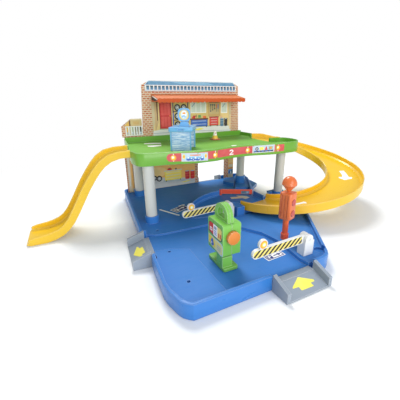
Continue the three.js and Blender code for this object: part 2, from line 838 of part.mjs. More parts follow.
const gateLow = landingStartFloor + gap;
const gateFoot = gateLow + gateRise;
const gatePlate = alongGate(0, gateLength, -gateThickness / 2, gateThickness / 2, gateFoot, gateLow + gateHeight)
  .add(post(gatePin.x, gatePin.y, gateBarrelRadius, gateLow, gateLow + gateHeight))
  .subtract(post(gatePin.x, gatePin.y, gatePinRadius + gap, 0, gateLow + 2 * gateHeight, roundSides / 2));
addPiece('gate_plate', gatePlate, red);
const gatePinTop = gateLow + gateHeight + gap;
const gatePinBody = post(gatePin.x, gatePin.y, gatePinRadius, landingBase, gatePinTop + gatePinHead / 2, roundSides / 2)
  .add(post(gatePin.x, gatePin.y, gatePinCap, gatePinTop, gatePinTop + gatePinHead, roundSides / 2));
addPiece('gate_pin', gatePinBody, blue);

// Upper deck
const deckCorners = scaled(deckCornerShares, deckLength, deckDepth, deckDepth);
const [[deckLeftX, deckLeftY]] = deckCorners;
const [deckBackX, deckBackY] = deckCorners[deckCorners.length - 1];
const [deckRampEdge] = deckCorners.find(([, , radius]) => radius === 0);

function deckLeftEdge(y) {
  return deckLeftX + ((deckBackX - deckLeftX) * (y - deckLeftY)) / (deckBackY - deckLeftY);
}

const deckUnder = deckFloorTop - deckSkin;
const curveNear = curveCentreY + curveRadiusY - curveWidth;
const curveFar = curveCentreY + curveRadiusY;
const slideFar = slideNear + slideWidth;

function hook(x0, x1, near, far, clearance) {
  return block(
    x0,
    x1,
    near + hookInset - clearance,
    far - hookInset + clearance,
    deckUnder - gap - hookThickness - clearance,
    deckUnder - gap + clearance,
  );
}

function makeDeck() {
  const inside = rounded(shrunk(deckCorners, deckSkin));
  let deck = prism(rounded(deckCorners), deckBottom, deckRimTop, deckEdgeRound);
  const bar = block(0, deckLength, deckBackY - deckBackBar, deckBackY, deckFloorTop - deckSkin / 2, deckBackRimTop)
    .intersect(prism(rounded(shrunk(deckCorners, deckEdgeRound)), deckBottom, deckBackRimTop));
  deck = deck.subtract(prism(inside, deckFloorTop, deckBackRimTop + overrun)).add(bar);
  let hollow = prism(inside, deckBottom - overrun, deckUnder);
  hollow = hollow.subtract(
    grid(deckLength, deckDepth, deckRibsAcross, deckRibsDeep, deckRibThickness, deckBottom + gap, deckFloorTop),
  );
  for (const [x, y] of pillarPlaces) {
    hollow = hollow.subtract(post(x, y, socketRadius, deckBottom + gap, deckFloorTop));
  }
  deck = deck.subtract(hollow);
  for (const [x, y] of pillarPlaces) {
    deck = deck.subtract(post(x, y, pillarRadius + gap, deckBottom - overrun, deckUnder));
  }
  const slideMouth = block(-overrun, deckLeftEdge(slideFar) + 2 * deckSkin, slideNear - gap, slideFar + gap,
    deckFloorTop, deckRimTop + overrun);
  const curveMouth = block(deckRampEdge - 2 * deckSkin, deckRampEdge + overrun, curveNear + channelWall,
    curveFar - channelWall, deckFloorTop, deckRimTop + overrun);
  const slot = block(0, deckLength, boardFace - gap, boardFace + boardThickness + gap, boardSlotBottom,
    deckBackRimTop + overrun);
  const boards = block(annexeLeft() - gap, upperBoardRight + upperBoardFlare + gap, 0, 2 * deckDepth, 0,
    2 * deckBackRimTop);
  return deck
    .subtract(slideMouth)
    .subtract(curveMouth)
    .subtract(slot.intersect(boards))
    .subtract(hook(-overrun, deckLeftEdge(slideFar) + hookReach + gap, slideNear, slideFar, gap))
    .subtract(hook(deckRampEdge - hookReach - gap, deckRampEdge + overrun, curveNear, curveFar, gap));
}

function annexeLeft() {
  return deckLeftEdge(boardFace + boardThickness) + deckSkin + gap;
}

addPiece('upper_deck', makeDeck(), green);

// Slide
function makeSlide() {
  const path = scaled(slidePathShares, -slideLength, slideDrop, slideHeight);
  const nearX = deckLeftEdge(slideNear) - gap;
  const farX = deckLeftEdge(slideFar) - gap;
  const outline = channelSection(slideWidth, 0, slideHeight, slideHeight);
  const firstAcross = new THREE.Vector3((farX - nearX) / slideWidth, 1, 0);
  const sections = [section(new THREE.Vector3(nearX, slideNear, slideDrop), firstAcross, upright, outline)];
  path.forEach(([x, z, height], i) => {
    const [beforeX, beforeZ] = path[i - 1] ?? [0, slideDrop];
    const [afterX, afterZ] = path[i + 1] ?? [x + x - beforeX, z];
    const up = new THREE.Vector3(afterZ - beforeZ, 0, beforeX - afterX).normalize();
    const place = new THREE.Vector3(x, slideNear, z);
    sections.push(section(place, new THREE.Vector3(0, 1, 0), up, channelSection(slideWidth, 0, height, height)));
  });
  const trim = prism(
    rounded([
      [-slideLength, slideNear, slideNoseRadius],
      [trayLength, slideNear, 0],
      [trayLength, slideFar, 0],
      [-slideLength, slideFar, slideNoseRadius],
    ]),
    0,
    2 * slideDrop,
  );
  const tongue = hook(nearX - overrun, nearX + hookReach, slideNear, slideFar, 0);
  const step = block(nearX - 2 * overrun, nearX - gap, slideNear + hookInset, slideFar - hookInset,
    deckUnder - gap - hookThickness, deckUnder + channelFloor / 2);
  return loft(sections, outline).intersect(trim).add(tongue).add(step);
}

addPiece('slide', makeSlide(), yellow);

// Curved ramp
function makeCurvedRamp() {
  const outline = channelSection(curveWidth, curveSkirt, curveHeight, curveHeight);
  const deckSide = new THREE.Vector3(deckRampEdge + gap, curveNear, curveDeckRail - curveHeight);
  const north = new THREE.Vector3(0, 1, 0);
  const bendStart = new THREE.Vector3(curveCentreX, curveNear, (curveDeckRail + curveTopRail) / 2 - curveHeight);
  const sections = [section(deckSide, north, upright, outline), section(bendStart, north, upright, outline)];
  for (let i = 0; i <= curveStations; i += 1) {
    const { inner, across, rail } = curvePlace(i / curveStations);
    sections.push(section(inner.setZ(rail - curveHeight), across, upright, outline));
  }
  const start = deckRampEdge + gap;
  const tongue = hook(start - hookReach, start + overrun, curveNear, curveFar, 0);
  const step = block(start, start + overrun, curveNear + hookInset, curveFar - hookInset,
    deckUnder - gap - hookThickness, curveDeckRail - curveHeight + curveSkirt + channelFloor / 2);
  return loft(sections, outline).add(tongue).add(step);
}

addPiece('curved_ramp', makeCurvedRamp(), amber);

// Backdrop boards
const boardBack = boardFace + boardThickness;

function rectangle(x0, x1, z0, z1) {
  return [[x0, z0], [x1, z0], [x1, z1], [x0, z1]];
}

function railing(left, right, low, high, bars) {
  const pitch = (right - left - railingBar) / bars;
  const near = boardFace - gap - boardThickness;
  let rail = block(left, right, near, boardFace - gap, low, high);
  for (let i = 0; i < bars; i += 1) {
    const x = left + railingBar + i * pitch;
    rail = rail.subtract(block(x, x + pitch - railingBar, near - overrun, boardFace + overrun, low + railingRail,
      high - railingRail));
  }
  return rail;
}

const lowerBoard = prismAlongY(
  rectangle(lowerBoardLeft, lowerBoardRight, plateauTop + gap, deckBottom - gap),
  boardFace,
  boardBack,
).subtract(block(gatewayLeft, gatewayRight, boardFace - overrun, boardBack + overrun, 0, gatewayTop));
addPiece('backdrop_lower', lowerBoard, beige);

const boardFoot = boardSlotBottom + gap;
const upperOutline = [
  [upperBoardLeft - upperBoardFlare, boardFoot],
  [upperBoardRight + upperBoardFlare, boardFoot],
  [upperBoardRight, upperBoardShoulder],
  [upperBoardRight - upperBoardSlope, upperBoardTop],
  [upperBoardLeft + upperBoardSlope, upperBoardTop],
  [upperBoardLeft, upperBoardShoulder],
];
addPiece('backdrop_upper', prismAlongY(upperOutline, boardFace, boardBack), beige);

const annexeRight = upperBoardLeft - upperBoardFlare - gap;
const annexeOuter = annexeLeft() - annexeOverhang;
const annexeLedge = deckBackRimTop + gap;
const annexeOutline = [
  [annexeLeft(), boardFoot],
  [annexeRight, boardFoot],
  [annexeRight, annexeTop],
  [annexeOuter + annexeSlope, annexeTop],
  [annexeOuter, annexeShoulder],
  [annexeOuter, annexeLedge],
  [annexeLeft(), annexeLedge],
];
addPiece('backdrop_annexe', prismAlongY(annexeOutline, boardFace, boardBack), beige);
const railingLow = upperBoardShoulder - railingHeight;
const roofRailing = railing(upperBoardLeft + railingInset, upperBoardRight - railingInset, railingLow,
  upperBoardShoulder, railingBars);
addPiece('roof_railing', roofRailing, white);
const sideRailing = railing(annexeOuter + railingInset, annexeRight, annexeShoulder - annexeRailingHeight,
  annexeShoulder, annexeRailingBars);
addPiece('annexe_railing', sideRailing, white);

// Awning: a corrugated sheet on two end cheeks, with a scalloped valance
const awningWallTop = railingLow - awningBelow;

function makeAwning() {
  const width = awningRight - awningLeft;
  const pitch = width / awningWaves;
  const top = [];
  for (let i = 0; i <= awningWaves; i += 1) {
    const x = awningLeft + i * pitch;
    top.push([x, 0]);
    if (i < awningWaves) {
      top.push([x + pitch / 2, awningWaveRise]);
    }
  }
  const under = top.slice().reverse().map(([x, z]) => [x, z - awningThickness]);
  const sheet = extruded([...top, ...under], awningReach);
  sheet.rotateX(Math.PI / 2).translate(0, awningReach, 0);
  const slope = new THREE.Matrix4().set(
    1, 0, 0, 0,
    0, 1, 0, boardFace - gap - awningReach,
    0, awningDrop / awningReach, 1, awningWallTop - awningDrop,
    0, 0, 0, 1,
  );
  const canopy = solid(sheet.applyMatrix4(slope));
  const front = boardFace - gap - awningReach;
  const lip = awningWallTop - awningDrop;
  const hem = [];
  for (let i = 0; i < awningWaves; i += 1) {
    const x = awningLeft + pitch / 2 + i * pitch;
    const bow = arc(x, 0, pitch / 2, 180, 360, 3).map(([u, v]) => [u, (v * awningScallop * 2) / pitch]);
    hem.push(...bow.slice(i === 0 ? 0 : 1));
  }
  const hemOutline = hem.map(([x, z]) => [x, lip - awningValance + z]);
  const valance = prismAlongY(
    [...hemOutline, [awningRight, lip - awningThickness / 2], [awningLeft, lip - awningThickness / 2]],
    front,
    front + awningThickness,
  );
  const cheek = [
    [front, lip - awningValance],
    [boardFace - gap, awningWallTop - awningValance - awningDrop],
    [boardFace - gap, awningWallTop - awningThickness / 2],
    [front, lip - awningThickness / 2],
  ];
  return canopy
    .add(valance)
    .add(prismAlongX(cheek, awningLeft, awningLeft + awningThickness))
    .add(prismAlongX(cheek, awningRight - awningThickness, awningRight));
}

addPiece('awning', makeAwning(), orange);

// Car wash
const washFloor = deckFloorTop + gap;

function washPlaced(body) {
  return placed(body, washTurnDegrees, washX, washY);
}

function makeWashFrame() {
  const slabOutline = rounded([
    [-washSlabOverhang, -washSlabOverhang, washSlabOverhang],
    [washLength + washSlabOverhang, -washSlabOverhang, washSlabOverhang],
    [washLength + washSkew + washSlabOverhang, washLane + washSlabOverhang, washSlabOverhang],
    [washSkew - washSlabOverhang, washLane + washSlabOverhang, washSlabOverhang],
  ]);
  let frame = prism(slabOutline, washPanelTop, washSlabTop, washSignRecess);
  for (const [skew, y] of [[0, 0], [washSkew, washLane - washPost]]) {
    for (const x of [skew, skew + washLength - washPost]) {
      frame = frame.add(block(x, x + washPost, y, y + washPost, washFloor, washPanelTop + washSignRecess * 2));
    }
  }
  const middleX = washLength / 2;
  const standX = middleX + washSkew;
  const middleY = washLane / 2;
  const slot = block(middleX - washSlotWidth / 2, middleX + washSlotWidth / 2, -2 * washSlabOverhang,
    washPost - washSlabOverhang, washPanelTop + washSignRecess * 2, washPanelTop + washSignRecess * 2 + washSlotHeight);
  const stand = prismAlongY(
    [
      [standX - washStandWidth / 2, washSlabTop - washSignRecess],
      [standX + washStandWidth / 2, washSlabTop - washSignRecess],
      [standX + washStandDepth / 2, washSlabTop + washStandHeight],
      [standX - washStandDepth / 2, washSlabTop + washStandHeight],
    ],
    middleY - washStandDepth / 2,
    middleY + washStandDepth / 2,
  );
  return washPlaced(frame.subtract(slot).add(stand));
}

addPiece('wash_frame', makeWashFrame(), washBlue);

const signLow = washSlabTop + washStandHeight + gap;
const signMiddle = washLength / 2 + washSkew;

function signOutline(margin) {
  const half = washSignWidth / 2 - margin;
  const low = signLow + margin;
  const high = signLow + washSignHeight - margin;
  const radius = washSignRadius - margin;
  return rounded([
    [signMiddle - half, low, radius],
    [signMiddle + half, low, radius],
    [signMiddle + half, high, radius],
    [signMiddle - half, high, radius],
  ]);
}

const signFront = washLane / 2 - washSignThickness / 2;
const signBody = prismAlongY(signOutline(0), signFront, signFront + washSignThickness)
  .subtract(prismAlongY(signOutline(washSignBorder), signFront - overrun, signFront + washSignRecess))
  .subtract(prismAlongY(signOutline(washSignBorder), signFront + washSignThickness - washSignRecess,
    signFront + washSignThickness + overrun));
addPiece('wash_sign', washPlaced(signBody), washBlue);

const washPanels = [['wash_panel_front', 0, 0], ['wash_panel_back', washSkew, washLane - washPost]];
for (const [name, skew, near] of washPanels) {
  const inset = (washPost - washPanel) / 2;
  const panel = block(skew + washPost + gap, skew + washLength - washPost - gap, near + inset,
    near + inset + washPanel, washFloor, washPanelTop - gap);
  addPiece(name, washPlaced(panel), panelBlue, { roughness: 0.2, transparent: true, opacity: 0.75 });
}

// Cone
const coneLow = deckFloorTop + gap;
const coneHalf = coneBaseSize / 2;
const coneSeat = coneLow + coneBaseThickness;
const coneBase = block(coneX - coneHalf, coneX + coneHalf, coneY - coneHalf, coneY + coneHalf, coneLow, coneSeat);
addPiece('cone_base', coneBase, red);
const coneProfile = [
  [coneFootRadius - coneWall, coneSeat + gap],
  [coneFootRadius, coneSeat + gap],
  [coneTipRadius, coneLow + coneHeight - coneWall],
  [0, coneLow + coneHeight],
  [0, coneLow + coneHeight - 2 * coneWall],
  [coneFootRadius - coneWall, coneSeat + gap],
];
addPiece('cone_body', turned(coneProfile, coneX, coneY), yellow);

// Fuel pump: two shells that meet on the handle's middle plane
const pumpSplit = (pumpLeft + pumpRight) / 2;
const pumpBodyOutline = rounded([
  [pumpFront, pumpBottom, pumpCorner],
  [pumpBack, pumpBottom, pumpCorner],
  [pumpBack, pumpTop, pumpCorner],
  [pumpFront, pumpTop, pumpCorner],
]);
const handleMiddle = (pumpHandleFront + pumpHandleBack) / 2;
const handleHalf = (pumpHandleBack - pumpHandleFront) / 2;
const handleOutline = [
  ...arc(handleMiddle, pumpHandleTop - handleHalf, handleHalf, 0, 180, roundSides / 2),
  [pumpHandleFront, pumpTop - pumpCorner],
  [pumpHandleBack, pumpTop - pumpCorner],
];
const handleHoleRadius = (pumpHoleBack - pumpHoleFront) / 2;
const handleHoleMiddle = (pumpHoleFront + pumpHoleBack) / 2;
const handleHole = [
  ...arc(handleHoleMiddle, pumpHoleHigh - handleHoleRadius, handleHoleRadius, 0, 180, roundSides / 2),
  [pumpHoleFront, pumpHoleLow],
  [pumpHoleBack, pumpHoleLow],
];
const knobBore = placedKnob(knobAxleRadius + gap, pumpFront - overrun, pumpFront + knobAxleLength + gap);

function placedKnob(radius, near, far, sides = roundSides) {
  return prismAlongY(circle(pumpSplit, knobZ, radius, sides), near, far);
}

function pumpHalf(left, right, handleLeft, handleRight) {
  return prismAlongX(pumpBodyOutline, left, right)
    .add(prismAlongX(handleOutline, handleLeft, handleRight))
    .subtract(prismAlongX(handleHole, handleLeft - overrun, handleRight + overrun))
    .subtract(knobBore);
}

const handleSide = pumpHandleThickness / 2;
const plinthLow = roadTop + gap;
const pumpLeftShell = pumpHalf(pumpLeft, pumpSplit - gap / 2, pumpSplit - handleSide, pumpSplit - gap / 2)
  .add(block(pumpLeft, pumpStemRight, pumpFront, pumpStemBack, pumpPlinthTop - pumpCorner, pumpBottom - gap))
  .add(block(pumpLeft, pumpSplit - gap, pumpFront + pumpCorner, pumpStemBack, pumpPlinthTop,
    pumpBottom + pumpCorner))
  .add(prism(
    rounded([
      [pumpLeft, pumpPlinthFront, pumpCorner],
      [pumpPlinthRight, pumpPlinthFront, pumpCorner],
      [pumpPlinthRight, pumpBack, pumpCorner],
      [pumpLeft, pumpBack, pumpCorner],
    ]),
    plinthLow,
    pumpPlinthTop,
    pumpCorner / 3,
  ));
addPiece('pump_shell_left', pumpLeftShell, green);
addPiece(
  'pump_shell_right',
  pumpHalf(pumpSplit + gap / 2, pumpRight, pumpSplit + gap / 2, pumpSplit + handleSide),
  green,
);

function fluted(radius, count, flute) {
  const points = circle(0, 0, radius, count * 2);
  return points.map(([x, z], i) => {
    const share = i % 2 ? (radius - flute) / radius : 1;
    return [pumpSplit + x * share, knobZ + z * share];
  });
}

const knobRim = fluted(knobRadius, knobFlutes, knobFlute);
const knob = prismAlongY(knobRim, pumpFront - gap - knobDepth, pumpFront - gap, [], knobFlute)
  .add(placedKnob(knobAxleRadius, pumpFront - gap - knobDepth / 2, pumpFront + knobAxleLength, roundSides / 2));
addPiece('pump_knob', knob, orange);

// Signal
const signalLow = sideTop + gap;
const postProfile = [
  [0, signalLow],
  [signalFootRadius, signalLow],
  [signalFootRadius, signalFootTop - signalFootRadius + signalStemRadius],
  [signalStemRadius, signalFootTop],
  [signalStemRadius, signalStemTop - gap],
  [signalPegRadius, signalStemTop - gap],
  [signalPegRadius, signalStemTop + signalPegLength],
  [0, signalStemTop + signalPegLength],
];
addPiece('signal_post', turned(postProfile, signalX, signalY), red);

function makeSignalHead() {
  const half = signalHeadWidth / 2;
  const corners = [[-half, -half], [half, -half], [half, half], [-half, half]];
  const outline = rounded(corners.map(([x, y]) => [x, y, signalHeadCorner]));
  let head = prism(outline, signalStemTop, signalHeadTop, signalHeadCorner / 2);
  const domeLow = signalConeTop;
  const dome = arc(0, domeLow, 1, 0, 90, 5).map(([share, rise]) => [
    signalDomeRadius * Math.max(0, share),
    domeLow + (signalDomeTop - domeLow) * (rise - domeLow),
  ]);
  dome[dome.length - 1][0] = 0;
  const top = turned(
    [
      [0, signalHeadTop - signalNeckHeight],
      [signalNeckRadius, signalHeadTop - signalNeckHeight],
      [signalNeckRadius, signalHeadTop + signalNeckHeight],
      ...dome,
    ],
    0,
    0,
  );
  head = head.add(top);
  for (const z of [signalUpperLamp, signalLowerLamp]) {
    head = head.subtract(lamp(z, signalLampRadius + gap, overrun, signalLampDepth + gap));
  }
  for (let i = 1; i <= signalGrooves; i += 1) {
    const y = (signalHeadWidth * i) / (signalGrooves + 1) - half;
    head = head.subtract(block(
      -half - overrun,
      signalGroove - half,
      y - signalGroove / 2,
      y + signalGroove / 2,
      signalStemTop + signalHeadCorner,
      signalHeadTop - signalHeadCorner,
    ));
  }
  const bore = post(0, 0, signalPegRadius + gap, 0, signalStemTop + signalPegLength + gap);
  return head.subtract(bore);
}

function signalPlaced(body) {
  return placed(body, signalHeadTurnDegrees, signalX, signalY);
}

function lamp(z, radius, proud, depth) {
  const face = -signalHeadWidth / 2;
  return prismAlongY(circle(0, z, radius), face - proud, face + depth);
}

addPiece('signal_head', signalPlaced(makeSignalHead()), orange);
const signalLamps = [['signal_lamp_upper', signalUpperLamp], ['signal_lamp_lower', signalLowerLamp]];
for (const [name, z] of signalLamps) {
  addPiece(name, signalPlaced(lamp(z, signalLampRadius, signalLampProud, signalLampDepth)), red);
}

// Barriers
const armArcSteps = 7;
const armHalf = armHeight / 2;
const armPivotRadius = postHumpRadius - 2 * gap;
const postMiddleY = postDepth / 2;

function barrierPost() {
  const hump = prismAlongY(circle(postPivotX, postPivotZ, postHumpRadius), 0, postDepth);
  const slot = block(-overrun, postPivotX + armHalf + gap, postMiddleY - armThickness / 2 - gap,
    postMiddleY + armThickness / 2 + gap, postPivotZ - armHalf - gap, 2 * postPivotZ);
  const hollow = block(postHollow, postWidth - postHollow, postHollow, postDepth - postHollow, -overrun,
    postPivotZ - armHalf - gap - postHollow);
  return block(0, postWidth, 0, postDepth, gap, postShoulder)
    .add(hump)
    .subtract(slot)
    .subtract(hollow)
    .subtract(prismAlongY(circle(postPivotX, postPivotZ, pinRadius + gap, roundSides / 2), -overrun, postDepth + overrun));
}

function barrierArm() {
  const near = postMiddleY - armThickness / 2;
  const far = postMiddleY + armThickness / 2;
  const endX = postPivotX - armLength;
  const endZ = postPivotZ - armDroop;
  const outline = [
    ...arc(endX, endZ, armHalf, 90, 270, armArcSteps),
    ...arc(postPivotX, postPivotZ, armPivotRadius, -90, 90, armArcSteps),
  ];
  return prismAlongY(outline, near, far)
    .add(prismAlongY(circle(endX + armDiscOffset, endZ + armDiscHeight, armDiscRadius), near, far))
    .subtract(prismAlongY(circle(postPivotX, postPivotZ, pinRadius + gap, roundSides / 2), near - overrun, far + overrun));
}

function barrierPin() {
  return prismAlongY(circle(postPivotX, postPivotZ, pinRadius, roundSides / 2), gap, postDepth - gap);
}

const barriers = [
  ['front', frontBarrierX, frontBarrierY, sideTop],
  ['rear', rearBarrierX, rearBarrierY, plateauTop],
];
for (const [name, x, y, z] of barriers) {
  addPiece(`${name}_barrier_post`, placed(barrierPost(), 0, x, y, z), white);
  addPiece(`${name}_barrier_arm`, placed(barrierArm(), 0, x, y, z), white);
  addPiece(`${name}_barrier_pin`, placed(barrierPin(), 0, x, y, z), white);
}

// The origin goes under the middle of the whole toy
const bounds = new THREE.Box3().setFromObject(group);
group.position.set(-(bounds.min.x + bounds.max.x) / 2, -(bounds.min.y + bounds.max.y) / 2, -bounds.min.z);

export default group;
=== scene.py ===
import math

import bmesh
import bpy
from mathutils import Matrix, Vector

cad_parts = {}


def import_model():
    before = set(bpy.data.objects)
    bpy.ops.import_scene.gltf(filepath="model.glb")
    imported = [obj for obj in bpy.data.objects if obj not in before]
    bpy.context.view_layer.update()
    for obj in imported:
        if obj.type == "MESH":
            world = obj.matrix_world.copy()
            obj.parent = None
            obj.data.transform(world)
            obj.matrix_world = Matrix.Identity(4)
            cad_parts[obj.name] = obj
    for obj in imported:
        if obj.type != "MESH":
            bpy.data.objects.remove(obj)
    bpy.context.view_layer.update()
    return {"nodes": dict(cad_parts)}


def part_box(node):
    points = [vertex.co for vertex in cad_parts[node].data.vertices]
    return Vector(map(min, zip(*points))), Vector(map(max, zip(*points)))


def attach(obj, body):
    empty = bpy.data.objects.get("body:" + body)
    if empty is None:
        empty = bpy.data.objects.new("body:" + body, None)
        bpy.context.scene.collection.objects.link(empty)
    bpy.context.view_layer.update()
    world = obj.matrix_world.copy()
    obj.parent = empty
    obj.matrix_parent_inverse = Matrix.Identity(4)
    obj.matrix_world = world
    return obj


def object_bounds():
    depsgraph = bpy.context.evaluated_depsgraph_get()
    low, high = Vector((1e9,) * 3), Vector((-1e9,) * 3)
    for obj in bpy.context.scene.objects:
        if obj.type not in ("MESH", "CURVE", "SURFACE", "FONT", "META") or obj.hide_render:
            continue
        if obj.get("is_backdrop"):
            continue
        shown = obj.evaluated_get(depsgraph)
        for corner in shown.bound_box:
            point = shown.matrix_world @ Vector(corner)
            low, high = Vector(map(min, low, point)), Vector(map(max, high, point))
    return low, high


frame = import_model()

# Places on the toy are millimetres of its plan: x to the right, y to the back and z up.
MM = 0.001
FILM = 0.00006  # thickness of one printed layer, in metres
BOARD_X = 20  # left edge of the backdrop in the plan
BOARD_Y = 450  # front face of the backdrop in the plan
board_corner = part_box("backdrop_lower")[0]
OFF = Vector((board_corner.x - BOARD_X * MM, board_corner.y - BOARD_Y * MM, 0.0))
WHITE = (1, 1, 1, 1)


def at(x, y, z=0.0):
    """A point of the plan, in millimetres, as a place in the row frame."""
    return OFF + Vector((x, y, z)) * MM


def col(r, g, b):
    """A colour written as it shows, from 0 to 255, as linear light."""
    out = []
    for v in (r, g, b):
        s = v / 255.0
        out.append(s / 12.92 if s <= 0.04045 else ((s + 0.055) / 1.055) ** 2.4)
    return (out[0], out[1], out[2], 1.0)


def toned(colour, factor):
    return tuple(min(1.0, c * factor) for c in colour[:3]) + (1.0,)


def mixed(a, b, t):
    return tuple(x + (y - x) * t for x, y in zip(a[:3], b[:3])) + (1.0,)


# Materials
class Build:
    """A node tree in the making."""

    def __init__(self, name):
        self.material = bpy.data.materials.new(name)
        self.material.use_nodes = True
        self.tree = self.material.node_tree
        self.shader = self.tree.nodes["Principled BSDF"]
        self.coords = self.add("ShaderNodeTexCoord").outputs["Object"]

    def add(self, kind, **settings):
        node = self.tree.nodes.new(kind)
        for key, value in settings.items():
            setattr(node, key, value)
        return node

    def link(self, a, b):
        self.tree.links.new(a, b)

    def set(self, socket, value):
        """Gives one of the shader's sockets a constant value or a link."""
        if isinstance(value, (int, float, tuple)):
            self.shader.inputs[socket].default_value = value
        else:
            self.link(value, self.shader.inputs[socket])

    def noise(self, scale, detail=3.0, rough=0.5, stretch=None):
        node = self.add("ShaderNodeTexNoise")
        node.inputs["Scale"].default_value = scale
        node.inputs["Detail"].default_value = detail
        node.inputs["Roughness"].default_value = rough
        vector = self.coords
        if stretch:
            mapping = self.add("ShaderNodeMapping")
            mapping.inputs["Scale"].default_value = stretch
            self.link(self.coords, mapping.inputs["Vector"])
            vector = mapping.outputs["Vector"]
        self.link(vector, node.inputs["Vector"])
        return node.outputs["Fac"]

    def bands(self, direction, scale, distortion):
        node = self.add("ShaderNodeTexWave", wave_type="BANDS", bands_direction=direction)
        node.inputs["Scale"].default_value = scale
        node.inputs["Distortion"].default_value = distortion
        self.link(self.coords, node.inputs["Vector"])
        return node.outputs["Fac"]

    def ramp(self, source, stops):
        node = self.add("ShaderNodeValToRGB")
        elements = node.color_ramp.elements
        while len(elements) < len(stops):
            elements.new(0.5)
        for element, (place, colour) in zip(elements, stops):
            element.position = place
            element.color = colour
        self.link(source, node.inputs["Fac"])
        return node.outputs["Color"]

    def span(self, source, a, b, low, high):
        """Carries the values from a to b over to those from low to high."""
        node = self.add("ShaderNodeMapRange")
        for key, value in (("From Min", a), ("From Max", b), ("To Min", low), ("To Max", high)):
            node.inputs[key].default_value = value
        self.link(source, node.inputs["Value"])
        return node.outputs["Result"]

    def mix(self, factor, a, b):
        node = self.add("ShaderNodeMix", data_type="RGBA", blend_type="MIX")
        for socket, value in ((node.inputs[0], factor), (node.inputs[6], a), (node.inputs[7], b)):
            if isinstance(value, (int, float, tuple)):
                socket.default_value = value
            else:
                self.link(value, socket)
        return node.outputs[2]

    def math(self, kind, a, b=0.0):
        node = self.add("ShaderNodeMath", operation=kind)
        for socket, value in zip(node.inputs, (a, b)):
            if isinstance(value, (int, float)):
                socket.default_value = value
            else:
                self.link(value, socket)
        return node.outputs[0]

    def axis(self, index, source=None):
        """One of the three parts of a vector, by default of the object's coordinates."""
        node = self.add("ShaderNodeSeparateXYZ")
        self.link(source or self.coords, node.inputs[0])
        return node.outputs[index]

    def normal(self):
        return self.add("ShaderNodeNewGeometry").outputs["Normal"]

    def relief(self, height, strength, distance, edge=0.0):
        bump = self.add("ShaderNodeBump")
        bump.inputs["Strength"].default_value = strength
        bump.inputs["Distance"].default_value = distance
        self.link(height, bump.inputs["Height"])
        if edge > 0:
            bevel = self.add("ShaderNodeBevel", samples=4)
            bevel.inputs["Radius"].default_value = edge
            self.link(bevel.outputs["Normal"], bump.inputs["Normal"])
        self.set("Normal", bump.outputs["Normal"])


X, Y, Z = 0, 1, 2
# The noises, each as its scale, its detail and its roughness
FLOW = (9.0, 3.0, 0.55)
SPECKS = (420.0, 2.0, 0.6)
SCUFFS = (36.0, 6.0, 0.65)
PEEL = (900.0, 2.0, 0.5)
PRESS_DOTS = (1500.0, 1.0, 0.5)
PRESS_WASH = (60.0, 3.0, 0.6)
WOBBLE = (120.0, 2.0, 0.6)
BLOTCHES = (45.0, 4.0, 0.7)
FIBRE = (700.0, 3.0, 0.6)
STREAKS = (60.0, 4.0, 0.7)
SCUFF_STRETCH = (1.0, 5.0, 2.0)
STREAK_STRETCH = (1.0, 1.0, 14.0)
EDGE_HIGHLIGHT_RADIUS = 0.002  # how near to an edge the painted highlight reaches, in metres


def plastic(name, colour, roughness=0.36, tone=0.06, edge=0.0009, gloss=0.4, coat=0.25, edge_highlight=0.34,
            matt=0.0, shade=None):
    """Moulded plastic: a soft sheen, a faint flow of tone, painted edge highlights, scuffs and a fine peel.

    The highlight setting paints a highlight on the edges, matt dulls the faces that look straight up, and
    shade changes the colour by place.
    """
    b = Build(name)
    light = mixed(toned(colour, 1 + tone * 0.5), WHITE, tone * 0.3)
    flow = b.noise(*FLOW)
    base = b.ramp(flow, [(0.3, toned(colour, 1 - tone)), (0.72, light)])
    if shade:
        base = shade(b, base)
    specks = b.noise(*SPECKS)
    base = b.mix(b.span(specks, 0.3, 0.75, 0.0, 0.1), base, toned(colour, 0.8))
    # Painted highlight: lighter towards white where the rounded normal turns away from the face's own
    if edge_highlight > 0:
        rounded = b.add("ShaderNodeBevel", samples=4)
        rounded.inputs["Radius"].default_value = EDGE_HIGHLIGHT_RADIUS
        likeness = b.add("ShaderNodeVectorMath", operation="DOT_PRODUCT")
        b.link(rounded.outputs["Normal"], likeness.inputs[0])
        b.link(b.normal(), likeness.inputs[1])
        share = b.span(likeness.outputs["Value"], 0.86, 0.99, edge_highlight, 0.0)
        base = b.mix(share, base, mixed(colour, WHITE, 0.6))
    b.set("Base Color", base)
    scuff = b.noise(*SCUFFS, SCUFF_STRETCH)
    rough = b.span(scuff, 0.35, 0.75, roughness - 0.05, roughness + 0.12)
    if matt > 0:
        level = b.span(b.axis(Z, b.normal()), 0.97, 0.999, 0.0, 1.0)
        rough = b.math("ADD", rough, b.math("MULTIPLY", level, matt))
        b.set("Coat Weight", b.math("MULTIPLY", b.math("SUBTRACT", 1.0, level), coat))
    else:
        b.set("Coat Weight", coat)
    b.set("Roughness", rough)
    b.set("Specular IOR Level", gloss)
    b.set("Coat Roughness", 0.2)
    b.relief(b.noise(*PEEL), 0.12, 0.00012, edge)
    return b.material


def ink(name, colour, roughness=0.42):
    """Printed colour on coated card or a sticker: an even tone with a fine mottle of the press."""
    b = Build(name)
    dots = b.noise(*PRESS_DOTS)
    wash = b.noise(*PRESS_WASH)
    base = b.ramp(wash, [(0.3, toned(colour, 0.93)), (0.7, mixed(colour, WHITE, 0.05))])
    b.set("Base Color", b.mix(b.span(dots, 0.4, 0.7, 0.0, 0.1), base, toned(colour, 0.75)))
    b.set("Roughness", b.span(wash, 0.3, 0.7, roughness - 0.05, roughness + 0.08))
    b.set("Specular IOR Level", 0.3)
    b.relief(dots, 0.05, 0.0001)
    return b.material


PER_METRE = 100.0  # units of the brick pattern in a metre
PALER_FROM, PALER_TO = 0.08, 0.2  # heights, in metres


